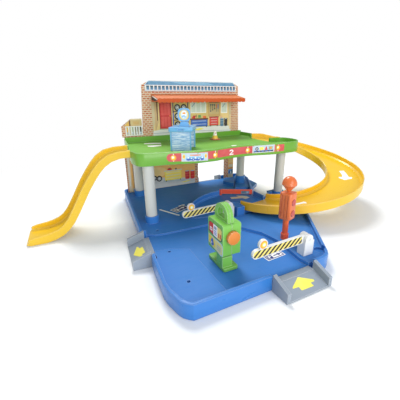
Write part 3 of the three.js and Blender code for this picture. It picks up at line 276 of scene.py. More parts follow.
def brickwork(name):
    """Printed card: brick courses on the front, paler higher up, and plain grey on all other faces."""
    b = Build(name)
    along = b.add("ShaderNodeCombineXYZ")
    height = b.axis(Z)
    b.link(b.math("MULTIPLY", b.axis(X), PER_METRE), along.inputs[0])
    b.link(b.math("MULTIPLY", height, PER_METRE), along.inputs[1])
    brick = b.add("ShaderNodeTexBrick", offset=0.5, squash=1.0)
    upper = b.span(height, PALER_FROM, PALER_TO, 0.0, 1.0)
    for socket, low, high in (("Color1", col(184, 84, 56), col(182, 98, 70)),
                              ("Color2", col(210, 120, 84), col(208, 146, 110)),
                              ("Mortar", col(212, 202, 176), col(212, 198, 172))):
        b.link(b.mix(upper, low, high), brick.inputs[socket])
    for socket, value in (("Scale", 1.0), ("Mortar Size", 0.095), ("Mortar Smooth", 0.15),
                          ("Brick Width", 0.92), ("Row Height", 0.49)):
        brick.inputs[socket].default_value = value
    wobble = b.span(b.noise(*WOBBLE), 0.0, 1.0, -0.06, 0.06)
    shifted = b.add("ShaderNodeVectorMath", operation="ADD")
    b.link(along.outputs[0], shifted.inputs[0])
    b.link(wobble, shifted.inputs[1])
    b.link(shifted.outputs[0], brick.inputs["Vector"])
    blotch = b.span(b.noise(*BLOTCHES), 0.5, 0.7, 0.0, 0.3)
    front = b.mix(blotch, brick.outputs["Color"], col(206, 176, 146))
    is_front = b.math("LESS_THAN", b.axis(Y, b.normal()), -0.5)
    fibre = b.noise(*FIBRE)
    card = b.ramp(fibre, [(0.3, col(176, 170, 160)), (0.7, col(202, 197, 188))])
    b.set("Base Color", b.mix(is_front, card, front))
    b.set("Roughness", b.span(fibre, 0.3, 0.7, 0.45, 0.6))
    b.set("Specular IOR Level", 0.2)
    b.relief(fibre, 0.08, 0.0001)
    return b.material


def tinted_panel(name):
    """Light blue moulded sheet, a little see-through, with level streaks and fine level ribs."""
    b = Build(name)
    streaks = b.noise(*STREAKS, STREAK_STRETCH)
    stops = [(0.3, col(104, 148, 210)), (0.48, col(160, 196, 236)), (0.66, col(236, 244, 254))]
    b.set("Base Color", b.ramp(streaks, stops))
    b.set("Roughness", b.span(streaks, 0.3, 0.7, 0.18, 0.36))
    b.set("Transmission Weight", 0.06)
    b.set("IOR", 1.3)
    b.relief(b.bands("Z", 260.0, 1.5), 0.35, 0.0003)
    return b.material


# Where a colour changes, in metres: to the right on the curved ramp, and in height on the rest
AMBER_TO, YELLOW_FROM = 0.06, 0.24
RED_TO, ORANGE_FROM = 0.030, 0.066
LIP_TO, SLOPE_FROM = 0.2414, 0.2424
CONE_YELLOW_TO, CONE_WHITE_FROM = 0.1515, 0.1525


def amber_shade(b, base):
    """The curved ramp is amber near the toy's middle and turns clear yellow to the right."""
    return b.mix(b.span(b.axis(X), AMBER_TO, YELLOW_FROM, 0.0, 1.0), base, col(234, 192, 36))


def red_stem(b, base):
    """The signal's orange turns red towards its foot."""
    return b.mix(b.span(b.axis(Z), RED_TO, ORANGE_FROM, 1.0, 0.0), base, col(236, 88, 48))


def painted_awning_light(b, base):
    """Painted light on the awning: a paler lit slope and fine lines of rib shade from wall to lip."""
    slope = b.mix(b.span(b.axis(Z), LIP_TO, SLOPE_FROM, 0.0, 1.0), base, col(206, 116, 60))
    lines = b.span(b.bands("X", 95.0, 0.6), 0.3, 0.9, 0.0, 0.4)
    return b.mix(lines, slope, col(184, 84, 34))


def white_top(b, base):
    """The cone is yellow below and white above."""
    share = b.span(b.axis(Z), CONE_YELLOW_TO, CONE_WHITE_FROM, 0.0, 1.0)
    return b.mix(share, base, col(245, 243, 236))


# The plastics' edge-lightening setting paints a highlight along their edges
MATERIALS = {
    "blue": plastic("tray_blue", col(50, 122, 200), 0.32, gloss=0.3, coat=0.3, edge_highlight=0.22, matt=0.2),
    "landing": plastic("landing_blue", col(50, 120, 200), 0.34, gloss=0.3, matt=0.14),
    "green": plastic("deck_green", col(112, 176, 58), 0.34, gloss=0.3, matt=0.2),
    "pump": plastic("pump_green", col(120, 190, 76), 0.3, edge_highlight=0.45),
    "yellow": plastic("slide_yellow", col(234, 192, 34), 0.32),
    "amber": plastic("ramp_amber", col(240, 184, 30), 0.32, shade=amber_shade),
    "grey": plastic("ramp_grey", col(144, 155, 168), 0.42, gloss=0.3, coat=0.1, matt=0.1),
    "pale": plastic("pillar_grey", col(202, 204, 198), 0.4),
    "red": plastic("plate_red", col(236, 84, 54)),
    "stem": plastic("signal_stem", col(238, 122, 52), 0.28, edge_highlight=0.1, shade=red_stem),
    "signal": plastic("signal_orange", col(222, 106, 36), 0.28, tone=0.14, edge_highlight=0.12),
    "lamp": plastic("lamp_red", col(190, 40, 34), 0.25),
    "knob": plastic("knob_orange", col(228, 136, 50), tone=0.12),
    # The awning's colour function paints light on its slope and the shade of its ribs
    "awning": plastic("awning_orange", col(208, 84, 26), 0.46, gloss=0.25, coat=0.0, edge_highlight=0.1,
                      shade=painted_awning_light),
    "white": plastic("barrier_white", col(228, 230, 230), tone=0.03, edge_highlight=0.0),
    "rail": plastic("rail_white", col(230, 232, 230), 0.45, tone=0.03, edge=0.0004, edge_highlight=0.0),
    "wash": plastic("wash_blue", col(106, 176, 228), 0.3),
    "cone": plastic("cone_yellow", col(246, 206, 60), shade=white_top),
    "base": plastic("cone_red", col(222, 62, 48)),
    "board": brickwork("brick_print"),
    "panel": tinted_panel("wash_panel"),
}

INK_COLOURS = {
    "sky": (100, 152, 186), "sky_dark": (78, 124, 160), "sky_line": (196, 220, 234),
    "sky_deep": (54, 96, 118), "sky_mid": (78, 130, 164), "sky_pale": (128, 168, 200),
    "sky_soft": (134, 184, 212), "reveal": (206, 172, 124), "wall": (238, 208, 140),
    "wall_dark": (204, 168, 104), "olive": (222, 194, 118), "peach": (240, 214, 164),
    "jamb": (206, 190, 152), "shutter": (214, 226, 214), "line": (176, 190, 198),
    "car_blue": (32, 70, 164), "blue_light": (72, 120, 208), "glass": (140, 170, 190),
    "glass_dark": (74, 96, 104), "rim": (204, 208, 212), "lift": (56, 104, 190),
    "door": (212, 52, 52), "door_dark": (146, 28, 36), "car_red": (218, 52, 40),
    "orange_red": (240, 112, 52), "dark": (58, 56, 46), "floor": (236, 236, 232),
    "orange_wall": (248, 190, 108), "orange_deep": (222, 146, 62), "orange_light": (250, 212, 140),
    "car_yellow": (252, 224, 58), "yellow_light": (252, 234, 120), "grey_floor": (200, 204, 206),
    "cabinet": (196, 40, 52), "cabinet_light": (230, 84, 78), "navy": (34, 50, 130),
    "navy_deep": (28, 40, 84), "white": (252, 252, 250), "arrow": (246, 236, 96),
    "strip": (214, 84, 84), "lamp": (248, 192, 50), "silver": (212, 216, 218),
    "panel_sky": (128, 192, 232), "black": (32, 32, 34), "stripe": (244, 226, 120),
    "beige": (226, 212, 184), "teal": (84, 126, 158), "green": (96, 160, 84),
    "leaf": (166, 180, 150), "leaf_dark": (62, 72, 58), "ring": (242, 156, 46),
    "brown": (112, 74, 44), "khaki": (202, 178, 124), "khaki_light": (226, 208, 166),
    "gold": (228, 182, 84), "mortar": (206, 196, 168), "cream": (240, 232, 152),
}
INKS = {name: ink("ink_" + name, col(*rgb)) for name, rgb in INK_COLOURS.items()}

NODES = {
    "blue": ["base_tray", "gate_pin"], "landing": ["landing_turn"], "green": ["upper_deck"],
    "pump": ["pump_shell_left", "pump_shell_right"], "yellow": ["slide"], "amber": ["curved_ramp"],
    "grey": ["front_ramp", "left_ramp", "back_ramp"],
    "pale": ["pillar_front_left", "pillar_front_right", "pillar_back_left", "pillar_back_right"],
    "red": ["gate_plate"], "stem": ["signal_post"], "signal": ["signal_head"],
    "lamp": ["signal_lamp_upper", "signal_lamp_lower"], "knob": ["pump_knob"], "awning": ["awning"],
    "white": ["front_barrier_post", "front_barrier_arm", "front_barrier_pin", "rear_barrier_post",
              "rear_barrier_arm", "rear_barrier_pin"],
    "rail": ["roof_railing", "annexe_railing"], "wash": ["wash_frame", "wash_sign"], "cone": ["cone_body"],
    "base": ["cone_base"], "board": ["backdrop_lower", "backdrop_upper", "backdrop_annexe"],
    "panel": ["wash_panel_front", "wash_panel_back"],
}

SMOOTH_UNDER = math.radians(31)
JOIN_UNDER = 0.00001


def shading_group():
    """Joins the solid's facets and shades them smooth up to an angle, so that turned forms look round."""
    tree = bpy.data.node_groups.new("round_shading", "GeometryNodeTree")
    tree.interface.new_socket("Geometry", in_out="INPUT", socket_type="NodeSocketGeometry")
    tree.interface.new_socket("Geometry", in_out="OUTPUT", socket_type="NodeSocketGeometry")
    nodes, links = tree.nodes, tree.links
    start, end = nodes.new("NodeGroupInput"), nodes.new("NodeGroupOutput")
    drop = nodes.new("GeometryNodeRemoveAttribute")
    drop.inputs["Name"].default_value = "custom_normal"
    join = nodes.new("GeometryNodeMergeByDistance")
    join.inputs["Distance"].default_value = JOIN_UNDER
    soft = nodes.new("GeometryNodeSetShadeSmooth")
    soft.inputs["Shade Smooth"].default_value = True
    hard = nodes.new("GeometryNodeSetShadeSmooth")
    hard.domain = "EDGE"
    hard.inputs["Shade Smooth"].default_value = False
    angle = nodes.new("GeometryNodeInputMeshEdgeAngle")
    over = nodes.new("FunctionNodeCompare")
    over.data_type = "FLOAT"
    over.operation = "GREATER_THAN"
    over.inputs[1].default_value = SMOOTH_UNDER
    links.new(angle.outputs["Unsigned Angle"], over.inputs[0])
    links.new(over.outputs["Result"], hard.inputs["Selection"])
    chain = [start, drop, join, soft, hard, end]
    for before_it, after_it in zip(chain, chain[1:]):
        links.new(before_it.outputs[0], after_it.inputs[0])
    return tree


SHADING = shading_group()


def dress(node, material):
    o = frame["nodes"][node]
    for place in o.material_slots:
        place.link = "OBJECT"
        place.material = material
    o.modifiers.new("round_shading", "NODES").node_group = SHADING


for key, names in NODES.items():
    for name in names:
        dress(name, MATERIALS[key])


# Printed films
SPLITS = 6  # how many times the edges may be halved


def net(outline, fine):
    """An outline as flat faces, cut up towards edges that are no longer than the fine size."""
    if not fine:
        return list(outline), [list(range(len(outline)))]
    bm = bmesh.new()
    face = bm.faces.new([bm.verts.new((a, b, 0)) for a, b in outline])
    bmesh.ops.triangulate(bm, faces=[face])
    for _ in range(SPLITS):
        long_edges = [e for e in bm.edges if e.calc_length() > fine]
        if not long_edges:
            break
        bmesh.ops.subdivide_edges(bm, edges=long_edges, cuts=1)
        bmesh.ops.triangulate(bm, faces=[f for f in bm.faces if len(f.verts) > 3])
    bm.verts.index_update()
    points = [(v.co.x, v.co.y) for v in bm.verts]
    faces = [[v.index for v in f.verts] for f in bm.faces]
    bm.free()
    return points, faces


def film(name, shapes, place, body="garage", fine=0):
    """Thin closed plates for printed shapes, each given as an ink, a layer and an outline.

    place gives the spot of a point of the outline.
    """
    mesh = bpy.data.meshes.new(name)
    bm = bmesh.new()
    inks = []
    for key, layer, outline in shapes:
        if key not in inks:
            inks.append(key)
            mesh.materials.append(INKS[key])
        points, patches = net(outline, fine)
        top = [bm.verts.new(place(a, b, FILM * (layer + 1))) for a, b in points]
        low = [bm.verts.new(place(a, b, -FILM)) for a, b in points]
        faces, sides = [], {}
        for patch in patches:
            faces.append(bm.faces.new([top[i] for i in patch]))
            faces.append(bm.faces.new([low[i] for i in reversed(patch)]))
            for i, j in zip(patch, patch[1:] + patch[:1]):
                if (j, i) in sides:
                    del sides[(j, i)]
                else:
                    sides[(i, j)] = True
        for i, j in sides:
            faces.append(bm.faces.new([top[i], low[i], low[j], top[j]]))
        for face in faces:
            face.material_index = inks.index(key)
    bmesh.ops.recalc_face_normals(bm, faces=bm.faces)
    bm.to_mesh(mesh)
    bm.free()
    o = bpy.data.objects.new(name, mesh)
    bpy.context.scene.collection.objects.link(o)
    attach(o, body)


def front_of(y):
    return lambda a, b, lift: at(a, y, b) + Vector((0, -lift, 0))


def back_of(y):
    return lambda a, b, lift: at(a, y, b) + Vector((0, lift, 0))


def left_of(x):
    return lambda a, b, lift: at(x, a, b) + Vector((-lift, 0, 0))


def cast(node, start, way):
    """Places points on the outside of a CAD node's own surface, found along a straight line."""
    o = frame["nodes"][node]
    way = Vector(way)

    def place(a, b, lift):
        hit, point, normal, _ = o.ray_cast(start(a, b), way)
        if not hit:
            raise ValueError(f"{node} has nothing at {a}, {b}")
        if normal.dot(way) > 0:
            normal = -normal
        return point + normal * lift

    return place


OVER_ALL, BEFORE_ALL = 400, -200  # where the straight lines start, above and before the toy


def above(node):
    return cast(node, lambda a, b: at(a, b, OVER_ALL), (0, 0, -1))


def before(node):
    return cast(node, lambda a, b: at(a, BEFORE_ALL, b), (0, 1, 0))


def box(key, layer, x0, x1, z0, z1):
    return (key, layer, [(x0, z0), (x1, z0), (x1, z1), (x0, z1)])


def arc(x, z, rx, rz, degrees):
    return [(x + rx * math.cos(math.radians(t)), z + rz * math.sin(math.radians(t))) for t in degrees]


def disc(key, layer, x, z, r, rz=None, sides=20):
    rz = rz or r
    turns = [2 * math.pi * i / sides for i in range(sides)]
    return (key, layer, [(x + r * math.cos(t), z + rz * math.sin(t)) for t in turns])


LEFT_HALF = range(90, 271, 20)  # the turns of a rounded left end, in degrees


def clipped(outline, inside):
    """An outline cut to a convex one."""
    out = list(outline)
    for i, (ax, ay) in enumerate(inside):
        bx, by = inside[(i + 1) % len(inside)]
        ring, out = out, []
        for k, (px, py) in enumerate(ring):
            qx, qy = ring[(k + 1) % len(ring)]
            dp = (bx - ax) * (py - ay) - (by - ay) * (px - ax)
            dq = (bx - ax) * (qy - ay) - (by - ay) * (qx - ax)
            if dp >= 0:
                out.append((px, py))
            if (dp > 0 > dq) or (dp < 0 < dq):
                t = dp / (dp - dq)
                out.append((px + t * (qx - px), py + t * (qy - py)))
        if len(out) < 3:
            return []
    return out


def tyre(layer, x, z, r):
    """A printed wheel: tyre, rim, four dark slots and a hub."""
    ring = r * 0.34
    slots = [disc("dark", layer + 2, x + ring * math.cos(a), z + ring * math.sin(a), r * 0.12, sides=10)
             for a in (0.4, 1.97, 3.54, 5.11)]
    hub = disc("white", layer + 2, x, z, r * 0.14, sides=10)
    return [disc("black", layer, x, z, r), disc("rim", layer + 1, x, z, r * 0.58), *slots, hub]


def drawers(layer, x0, x1, z0, z1, body, face, rows):
    """A printed cabinet with rows of drawers, their handles and a pair of feet."""
    margin, foot, foot_height, gap, handle = 1.6, 3, 2.4, 1.4, 1
    step = (z1 - z0 - margin) / rows
    shapes = [box(body, layer, x0, x1, z0, z1),
              box("black", layer, x0 + 2, x0 + 2 + foot, z0 - foot_height, z0),
              box("black", layer, x1 - 2 - foot, x1 - 2, z0 - foot_height, z0)]
    for k in range(rows):
        low = z0 + margin + k * step
        grip = low + step * 0.45
        shapes.append(box(face, layer + 1, x0 + margin, x1 - margin, low, low + step - gap))
        shapes.append(box("silver", layer + 2, x0 + 5, x1 - 5, grip, grip + handle))
    return shapes


def drum(layer, x0, x1, z0, z1, body, band):
    """A printed oil drum with two bands and a pale lid."""
    lid = 1.6
    middle_x, half_x = (x0 + x1) / 2, (x1 - x0) / 2
    bands = [box(band, layer + 2, x0, x1, z0 + (z1 - z0) * u, z0 + (z1 - z0) * u + lid) for u in (0.3, 0.64)]
    return [box(body, layer, x0, x1, z0, z1), disc(body, layer + 1, middle_x, z0, half_x, lid, 16),
            disc("line", layer + 1, middle_x, z1, half_x, lid, 16), *bands]


def window(layer, x0, x1, z0, z1, columns):
    """A printed window: white frame, pale panes and a streak of light."""
    rim = 2
    pane = (x1 - x0 - rim) / columns
    panes = [box("shutter", layer + 1, x0 + rim + k * pane, x0 + k * pane + pane, z0 + rim, z1 - rim)
             for k in range(columns)]
    streak = [(x0 + 3, z1 - 12), (x0 + 6, z1 - 12), (x0 + 14, z1 - 2.4), (x0 + 11, z1 - 2.4)]
    return [box("white", layer, x0, x1, z0, z1), *panes, ("glass", layer + 2, streak)]


def spanner(layer, x, z, length):
    """A printed spanner that hangs on a wall."""
    return [box("glass_dark", layer, x - 0.8, x + 0.8, z, z + length),
            disc("glass_dark", layer, x, z, 2, sides=10),
            disc("glass_dark", layer, x, z + length, 2.4, sides=10)]


# The pictures on the boards are plain ones of the scene's own, in the colours of the toy's print.
# Lower board: a door frame at the left, an orange store room and a narrow strip at the right of the gateway
FOOT, LOWER_TOP = 14.5, 124  # the foot and the top of the lower board's print
GATEWAY_LEFT, GATEWAY_RIGHT, LOWER_RIGHT = 209.6, 318.6, 336.4
lower = [
    box("beige", 0, 23.5, 50, FOOT, LOWER_TOP),
    box("floor", 1, 25.4, 29, 30, 122),
    box("peach", 1, 29, 32, FOOT, LOWER_TOP),
    box("orange_wall", 1, 32, 35.6, 24, LOWER_TOP),
    box("reveal", 1, 35.6, 50, 24, LOWER_TOP),
    box("brown", 2, 37.4, 50, 44, LOWER_TOP),
    box("orange_wall", 0, 50, GATEWAY_LEFT, FOOT, LOWER_TOP),
    box("orange_deep", 1, 50, GATEWAY_LEFT, 76, LOWER_TOP),
    disc("orange_light", 2, 96, 58, 30, 15, 28),
    disc("wall", 3, 92, 58, 17, 9, 24),
    ("grey_floor", 4, [(50, FOOT), (GATEWAY_LEFT, FOOT), (GATEWAY_LEFT, 29), (150, 37), (92, 45), (50, 45)]),
    ("silver", 5, [(50, FOOT), (GATEWAY_LEFT, FOOT), (GATEWAY_LEFT, 20), (146, 21.5), (90, 28), (50, 30)]),
    ("line", 5, [(114, 28.5), (176, 24.5), (178, 28), (116, 34)]),
    *drawers(6, 120, 168, 32, 58, "car_yellow", "yellow_light", 3),
    box("silver", 9, 118.4, 169.6, 57.4, 60),
    box("car_red", 9, 128, 140, 60, 64.5),
    box("glass_dark", 10, 131, 137, 64.5, 66.5),
    *spanner(9, 152, 61.6, 0.4),
    *drum(6, 179, 192, 30, 52, "cabinet", "cabinet_light"),
    *drum(6, 195, 208, 29, 51, "car_red", "cabinet_light"),
    *tyre(6, 104, 40, 8),
    *tyre(6, 92, 43, 6.4),
    ("arrow", 6, [(166, 22), (188, 24.6), (196, 22.4), (176, 19.8)]),
    box("orange_wall", 0, GATEWAY_RIGHT, LOWER_RIGHT, FOOT, LOWER_TOP),
    box("orange_light", 1, 321, 334, 60, 118),
    box("wall", 2, 325, 334, 70, 104),
    box("orange_deep", 1, GATEWAY_RIGHT, LOWER_RIGHT, 41, 45),
    box("beige", 1, 321, 335, 46, 55),
    box("panel_sky", 1, 319.5, 336, 25, 40),
    box("lift", 2, 321, 326, 27, 36),
    box("white", 2, 327, 330.6, 27, 33),
    box("black", 2, 331.6, 335, 27, 38),
    box("beige", 1, 319, 336.2, FOOT, 24),
]
film("print_lower_board", lower, front_of(BOARD_Y))

# Upper board: a blue roof behind the railing, and a workshop between two jambs
ROOF_LEFT, ROOF_RIGHT, ROOF_FOOT = 84, 335.4, 259.6
roof = [
    ("sky_line", 0, [(82.6, 259.4), (337, 259.4), (337, 273.4), (328.6, 283.2), (92.4, 283.2),
                     (82.6, 274.4)]),
    ("sky", 1, [(ROOF_LEFT, ROOF_FOOT), (ROOF_RIGHT, ROOF_FOOT), (ROOF_RIGHT, 273), (327.6, 281.8),
                (93.4, 282), (ROOF_LEFT, 273.6)]),
    ("sky_dark", 2, [(ROOF_LEFT, 273.2), (91.4, 281.4), (91.4, 273.2)]),
    ("sky_dark", 2, [(329.4, 280.6), (ROOF_RIGHT, 273), (328, 273)]),
    box("sky_deep", 3, ROOF_LEFT, ROOF_RIGHT, 268.4, 273),
    box("sky_mid", 3, ROOF_LEFT, ROOF_RIGHT, 264.4, 268.4),
    box("sky_pale", 3, ROOF_LEFT, ROOF_RIGHT, ROOF_FOOT, 264.4),
    ("sky_soft", 2, [(150, 281), (250, 281), (270, 276), (180, 276)]),
]
ROOM_LEFT, ROOM_RIGHT, ROOM_TOP, CEILING = 96, 324.4, 247, 240
room = [
    box("wall", 0, ROOM_LEFT, ROOM_RIGHT, 160, ROOM_TOP),
    box("olive", 1, 150, 252, 176, CEILING),
    box("wall_dark", 1, 252, 290, 196, CEILING),
    ("reveal", 1, [(102.6, ROOM_TOP), (112, ROOM_TOP), (112, 186), (102.6, 162)]),
    ("jamb", 2, [(ROOM_LEFT, ROOM_TOP), (103, ROOM_TOP), (103, 188), (ROOM_LEFT, 160)]),
    ("brown", 2, [(107.6, ROOM_TOP), (112, ROOM_TOP), (110.5, 190), (108.6, 190)]),
    ("jamb", 3, [(315.2, ROOM_TOP), (ROOM_RIGHT, ROOM_TOP), (ROOM_RIGHT, 160), (319.4, 160)]),
    ("peach", 4, [(320.6, 200), (324.2, 200), (324.2, 161), (319.8, 161)]),
    ("floor", 2, [(ROOM_LEFT, 165.6), (122, 168.4), (264, 171.8), (316, 169), (ROOM_RIGHT, 164),
                  (ROOM_RIGHT, 146.8), (ROOM_LEFT, 146.8)]),
    ("line", 5, [(97, 160), (200, 161), (323, 156.6), (323, 155.4), (200, 159.4), (97, 158.6)]),
    ("leaf", 3, [(114, 170), (316, 172.6), (316, 170.4), (114, 167.8)]),
    ("arrow", 4, [(206, 163), (226, 167), (240, 164.6), (222, 160.6)]),
]
door = [
    box("door_dark", 5, 115, 147, 170, CEILING),
    box("door", 6, 117, 145, 170, CEILING),
    *[box("cabinet_light", 7, x, x + 7, z0, z1) for z0, z1 in ((175, 199), (203, 232))
      for x in (119.4, 127.6, 135.8)],
    disc("lamp", 8, 142.6, 201, 1.3, sides=10),
]
RACK_FOOT, SHELF_STEP, TYRE_RADIUS = 167, 21, 8.6
rack = []
for x in (150, 191):
    rack += [box("lift", 6, x, x + 3, RACK_FOOT, CEILING), box("navy_deep", 7, x, x + 3, 208, CEILING)]
for k in range(3):
    shelf = RACK_FOOT + 1 + SHELF_STEP * k
    rack.append(box("navy_deep", 7, 153, 191, shelf, shelf + 2))
for k in range(3):
    middle_z = RACK_FOOT + 3 + SHELF_STEP * k + 8.8
    rack += [*tyre(5, 163, middle_z, TYRE_RADIUS), *tyre(5, 181, middle_z, TYRE_RADIUS)]
bench = [
    *drawers(5, 200, 250, 171, 189, "car_blue", "blue_light", 2),
    box("brown", 8, 197.6, 252, 188.6, 192.4),
    box("car_red", 8, 204, 213, 192.4, 197),
    box("cabinet", 9, 207, 215.6, 197, 199.6),
    box("glass_dark", 9, 215.6, 217, 195, 202),
    box("green", 8, 222, 230, 193.6, 201),
    box("orange_red", 8, 236, 246, 192.4, 198),
    *window(3, 200, 246, 206, 234, 3),
    ("dark", 6, [(218, CEILING), (226, CEILING), (232, 233), (212, 233)]),
    disc("yellow_light", 7, 222, 232.4, 5, 1.6, 14),
]
tools = [
    box("khaki", 2, 255, 286, 202, 233),
    box("brown", 3, 255, 286, 231.6, 233.4),
    *spanner(3, 260, 210, 16),
    *spanner(3, 266, 213, 13),
    *spanner(3, 272, 216, 10),
    box("car_red", 3, 277, 279, 218, 228),
    box("glass_dark", 3, 277.4, 278.6, 208, 218),
    box("lift", 3, 281.6, 284, 216, 228),
    box("glass_dark", 3, 282.2, 283.4, 208, 216),
    *drawers(5, 256, 284, 172, 194, "car_red", "cabinet_light", 3),
    box("door_dark", 8, 254.6, 285.4, 193.4, 195.6),
]
store = [
    *drum(5, 290, 301, 170, 190, "teal", "glass"),
    *[disc("black", 6 + k, 308, 171 + 4.2 * k, 6, 2.6, 16) for k in range(5)],
    disc("rim", 11, 308, 189, 3, 1.2, 12),
    box("car_red", 5, 291, 295, 191.6, 196),
    box("white", 6, 291, 295, 193, 194.4),
    *window(3, 292, 312, 204, 232, 1),
]
film("print_upper_board", roof + room + door + rack + bench + tools + store, front_of(BOARD_Y))

# Annexe: a low gable over a porch with four windows behind the railing
annexe = [
    ("khaki", 0, [(28, 179), (69, 179), (69, 195.6), (41.6, 195.6), (26.6, 182)]),
    ("khaki_light", 1, [(41.4, 196.4), (69, 196.6), (69, 194.4), (40.6, 194.2)]),
    ("gold", 1, [(27.6, 180.4), (38, 191.8), (38, 180.4)]),
    ("brown", 1, [(38, 192.4), (41.6, 195), (41.6, 180.4), (38, 180.4)]),
    box("wall_dark", 1, 48, 62, 183.6, 191),
    box("mortar", 0, 28.4, 69, 157.4, 179),
]
for x, shade in ((31, "gold"), (41.6, "leaf"), (52.2, "leaf_dark"), (62.4, "dark")):
    annexe += [box(shade, 1, x, x + 6.4, 160, 177.6), box("line", 2, x + 0.8, x + 5.6, 161, 166)]
film("print_annexe", annexe, front_of(BOARD_Y))

# Deck skirt: red strip with a round left end, lamps, two picture panels and a number
STRIP_LEFT, STRIP_RIGHT, STRIP_LOW, STRIP_HIGH = 64, 320, 132.2, 147.2
middle, half = (STRIP_LOW + STRIP_HIGH) / 2, (STRIP_HIGH - STRIP_LOW) / 2
strip = [box("strip", 0, STRIP_LEFT, STRIP_RIGHT, STRIP_LOW, STRIP_HIGH),
         ("strip", 0, arc(STRIP_LEFT, middle, half, half, LEFT_HALF))]
for x, z in ((68.8, 139.2), (149.8, 138.4), (232.4, 138.8), (303, 140.4)):
    strip += [box("white", 1, x - 0.6, x + 0.6, STRIP_LOW + 0.4, STRIP_HIGH - 0.4),
              disc("ring", 2, x, z, 5.2),
              disc("lamp", 3, x - 0.5, z + 0.3, 4.3),
              disc("yellow_light", 4, x - 0.9, z + 0.7, 3.2, sides=16),
              disc("white", 5, x - 1.1, z + 0.9, 1.9, sides=14)]
PANEL_LOW, PANEL_HEIGHT = 131.4, 15.8


class Panel:
    """A picture panel on the skirt, with places given as shares of its width and height."""

    def __init__(self, x0, x1, tilt):
        self.x0, self.width, self.tilt = x0, x1 - x0, tilt

    def at(self, u, v):
        return (self.x0 + self.width * u, PANEL_LOW + self.tilt * u + PANEL_HEIGHT * v)

    def box(self, key, layer, u0, u1, v0, v1):
        return (key, layer, [self.at(u0, v0), self.at(u1, v0), self.at(u1, v1), self.at(u0, v1)])

    def spot(self, key, layer, u, v, r, rz=None):
        return disc(key, layer, *self.at(u, v), r, rz, 14)

    def frame(self):
        return [self.box("silver", 1, 0, 1, 0, 1), self.box("sky_line", 2, 0.03, 0.97, 0.1, 0.92)]


waves = Panel(82.8, 133.8, -1.6)
strip += waves.frame()
for key, layer, places, v, r, rz in (
        ("yellow_light", 3, (0.09, 0.91), 0.58, 2.5, 4.6), ("ring", 4, (0.09, 0.91), 0.58, 1.3, 2.6),
        ("panel_sky", 3, (0.26, 0.42, 0.58, 0.74), 0.34, 5.4, 3.4),
        ("lift", 4, (0.26, 0.42, 0.58, 0.74), 0.22, 4.6, 2)):
    strip += [waves.spot(key, layer, u, v, r, rz) for u in places]
BUBBLES = ((0.24, 0.44, 1.5), (0.36, 0.36, 1.1), (0.5, 0.42, 1.6), (0.62, 0.34, 1.1), (0.76, 0.44, 1.4),
           (0.42, 0.24, 0.8), (0.68, 0.22, 0.9))
strip += [waves.spot("white", 5, u, v, r) for u, v, r in BUBBLES]
strip += [waves.box("ring", 4, 0.3, 0.7, 0.68, 0.8), waves.box("orange_red", 5, 0.4, 0.6, 0.68, 0.8)]

things = Panel(243.6, 293.4, 1.2)
strip += things.frame()
strip += [things.box("navy_deep", 3, 0.06, 0.94, 0.12, 0.3),
          things.box("yellow_light", 4, 0.32, 0.5, 0.36, 0.78),
          things.box("arrow", 5, 0.35, 0.47, 0.44, 0.7),
          things.box("leaf", 4, 0.72, 0.9, 0.36, 0.8)]
strip += [things.spot("lift", 4, u, 0.22, 2.2, 1.6) for u in (0.14, 0.3, 0.46, 0.62, 0.78)]
strip += [things.spot("dark", 4, 0.2, 0.56, 3.6),
          things.spot("rim", 5, 0.2, 0.56, 1.8),
          things.spot("ring", 5, 0.81, 0.58, 2.4),
          ("car_red", 4, [things.at(0.54, 0.34), things.at(0.68, 0.34), things.at(0.61, 0.86)])]

# The figure 2, as shares of its width and height
TWO = [(0.0, 0.72), (0.06, 0.9), (0.3, 1.0), (0.7, 1.0), (0.95, 0.86), (0.97, 0.64), (0.8, 0.46),
       (0.38, 0.2), (1.0, 0.2), (1.0, 0.0), (0.0, 0.0), (0.0, 0.16), (0.55, 0.52), (0.68, 0.68), (0.6, 0.8),
       (0.38, 0.8), (0.27, 0.7)]
TWO_X, TWO_Z, TWO_WIDTH, TWO_HEIGHT = 186.6, 133.6, 9.8, 10.6
strip.append(("white", 1, [(TWO_X + TWO_WIDTH * u, TWO_Z + TWO_HEIGHT * v) for u, v in TWO]))
film("skirt_sticker", strip, before("upper_deck"), fine=6)

# Deck floor marks
film("deck_marks", [
    ("white", 0, [(63, 421.5), (84, 419), (101.5, 408.5), (97, 393), (80, 401), (61.5, 411)]),
    ("white", 0, [(60.5, 383), (79, 381.3), (93, 378.7), (88, 364.5), (68, 361.5), (59.5, 369)]),
    ("white", 0, [(228, 293), (243, 291), (226, 275)]),
], above("upper_deck"))


def parking_label(x, y, turn, w, d, field):
    """A label with a white edge and a navy frame, a plain parking letter and an arrow."""
    c, s = math.cos(math.radians(turn)), math.sin(math.radians(turn))
    sign_ink = "navy" if field == "white" else "white"

    def put(points):
        return [(x + c * u * w - s * v * d, y + s * u * w + c * v * d) for u, v in points]

    def rect(m, k):
        return [(-0.5 + m, -0.5 + k), (0.5 - m, -0.5 + k), (0.5 - m, 0.5 - k), (-0.5 + m, 0.5 - k)]

    block = [(-0.38, -0.27), (-0.12, -0.27), (-0.12, 0.27), (-0.38, 0.27)]
    stem = [(-0.32, -0.2), (-0.27, -0.2), (-0.27, 0.2), (-0.32, 0.2)]
    bowl = [(-0.27, 0.2), (-0.18, 0.16), (-0.18, 0.02), (-0.27, -0.02), (-0.27, 0.05), (-0.22, 0.06),
            (-0.22, 0.12), (-0.27, 0.13)]
    arrow = [(-0.04, -0.07), (0.2, -0.07), (0.2, -0.24), (0.38, 0.0), (0.2, 0.24), (0.2, 0.07), (-0.04, 0.07)]
    return [
        ("white", 0, put(rect(0.0, 0.0))),
        ("navy", 1, put(rect(0.045, 0.09))),
        (field, 2, put(rect(0.1, 0.2))),
        (sign_ink, 3, put(block)),
        (field, 4, put(stem)),
        (field, 4, put(bowl)),
        (sign_ink, 3, put(arrow)),
    ]


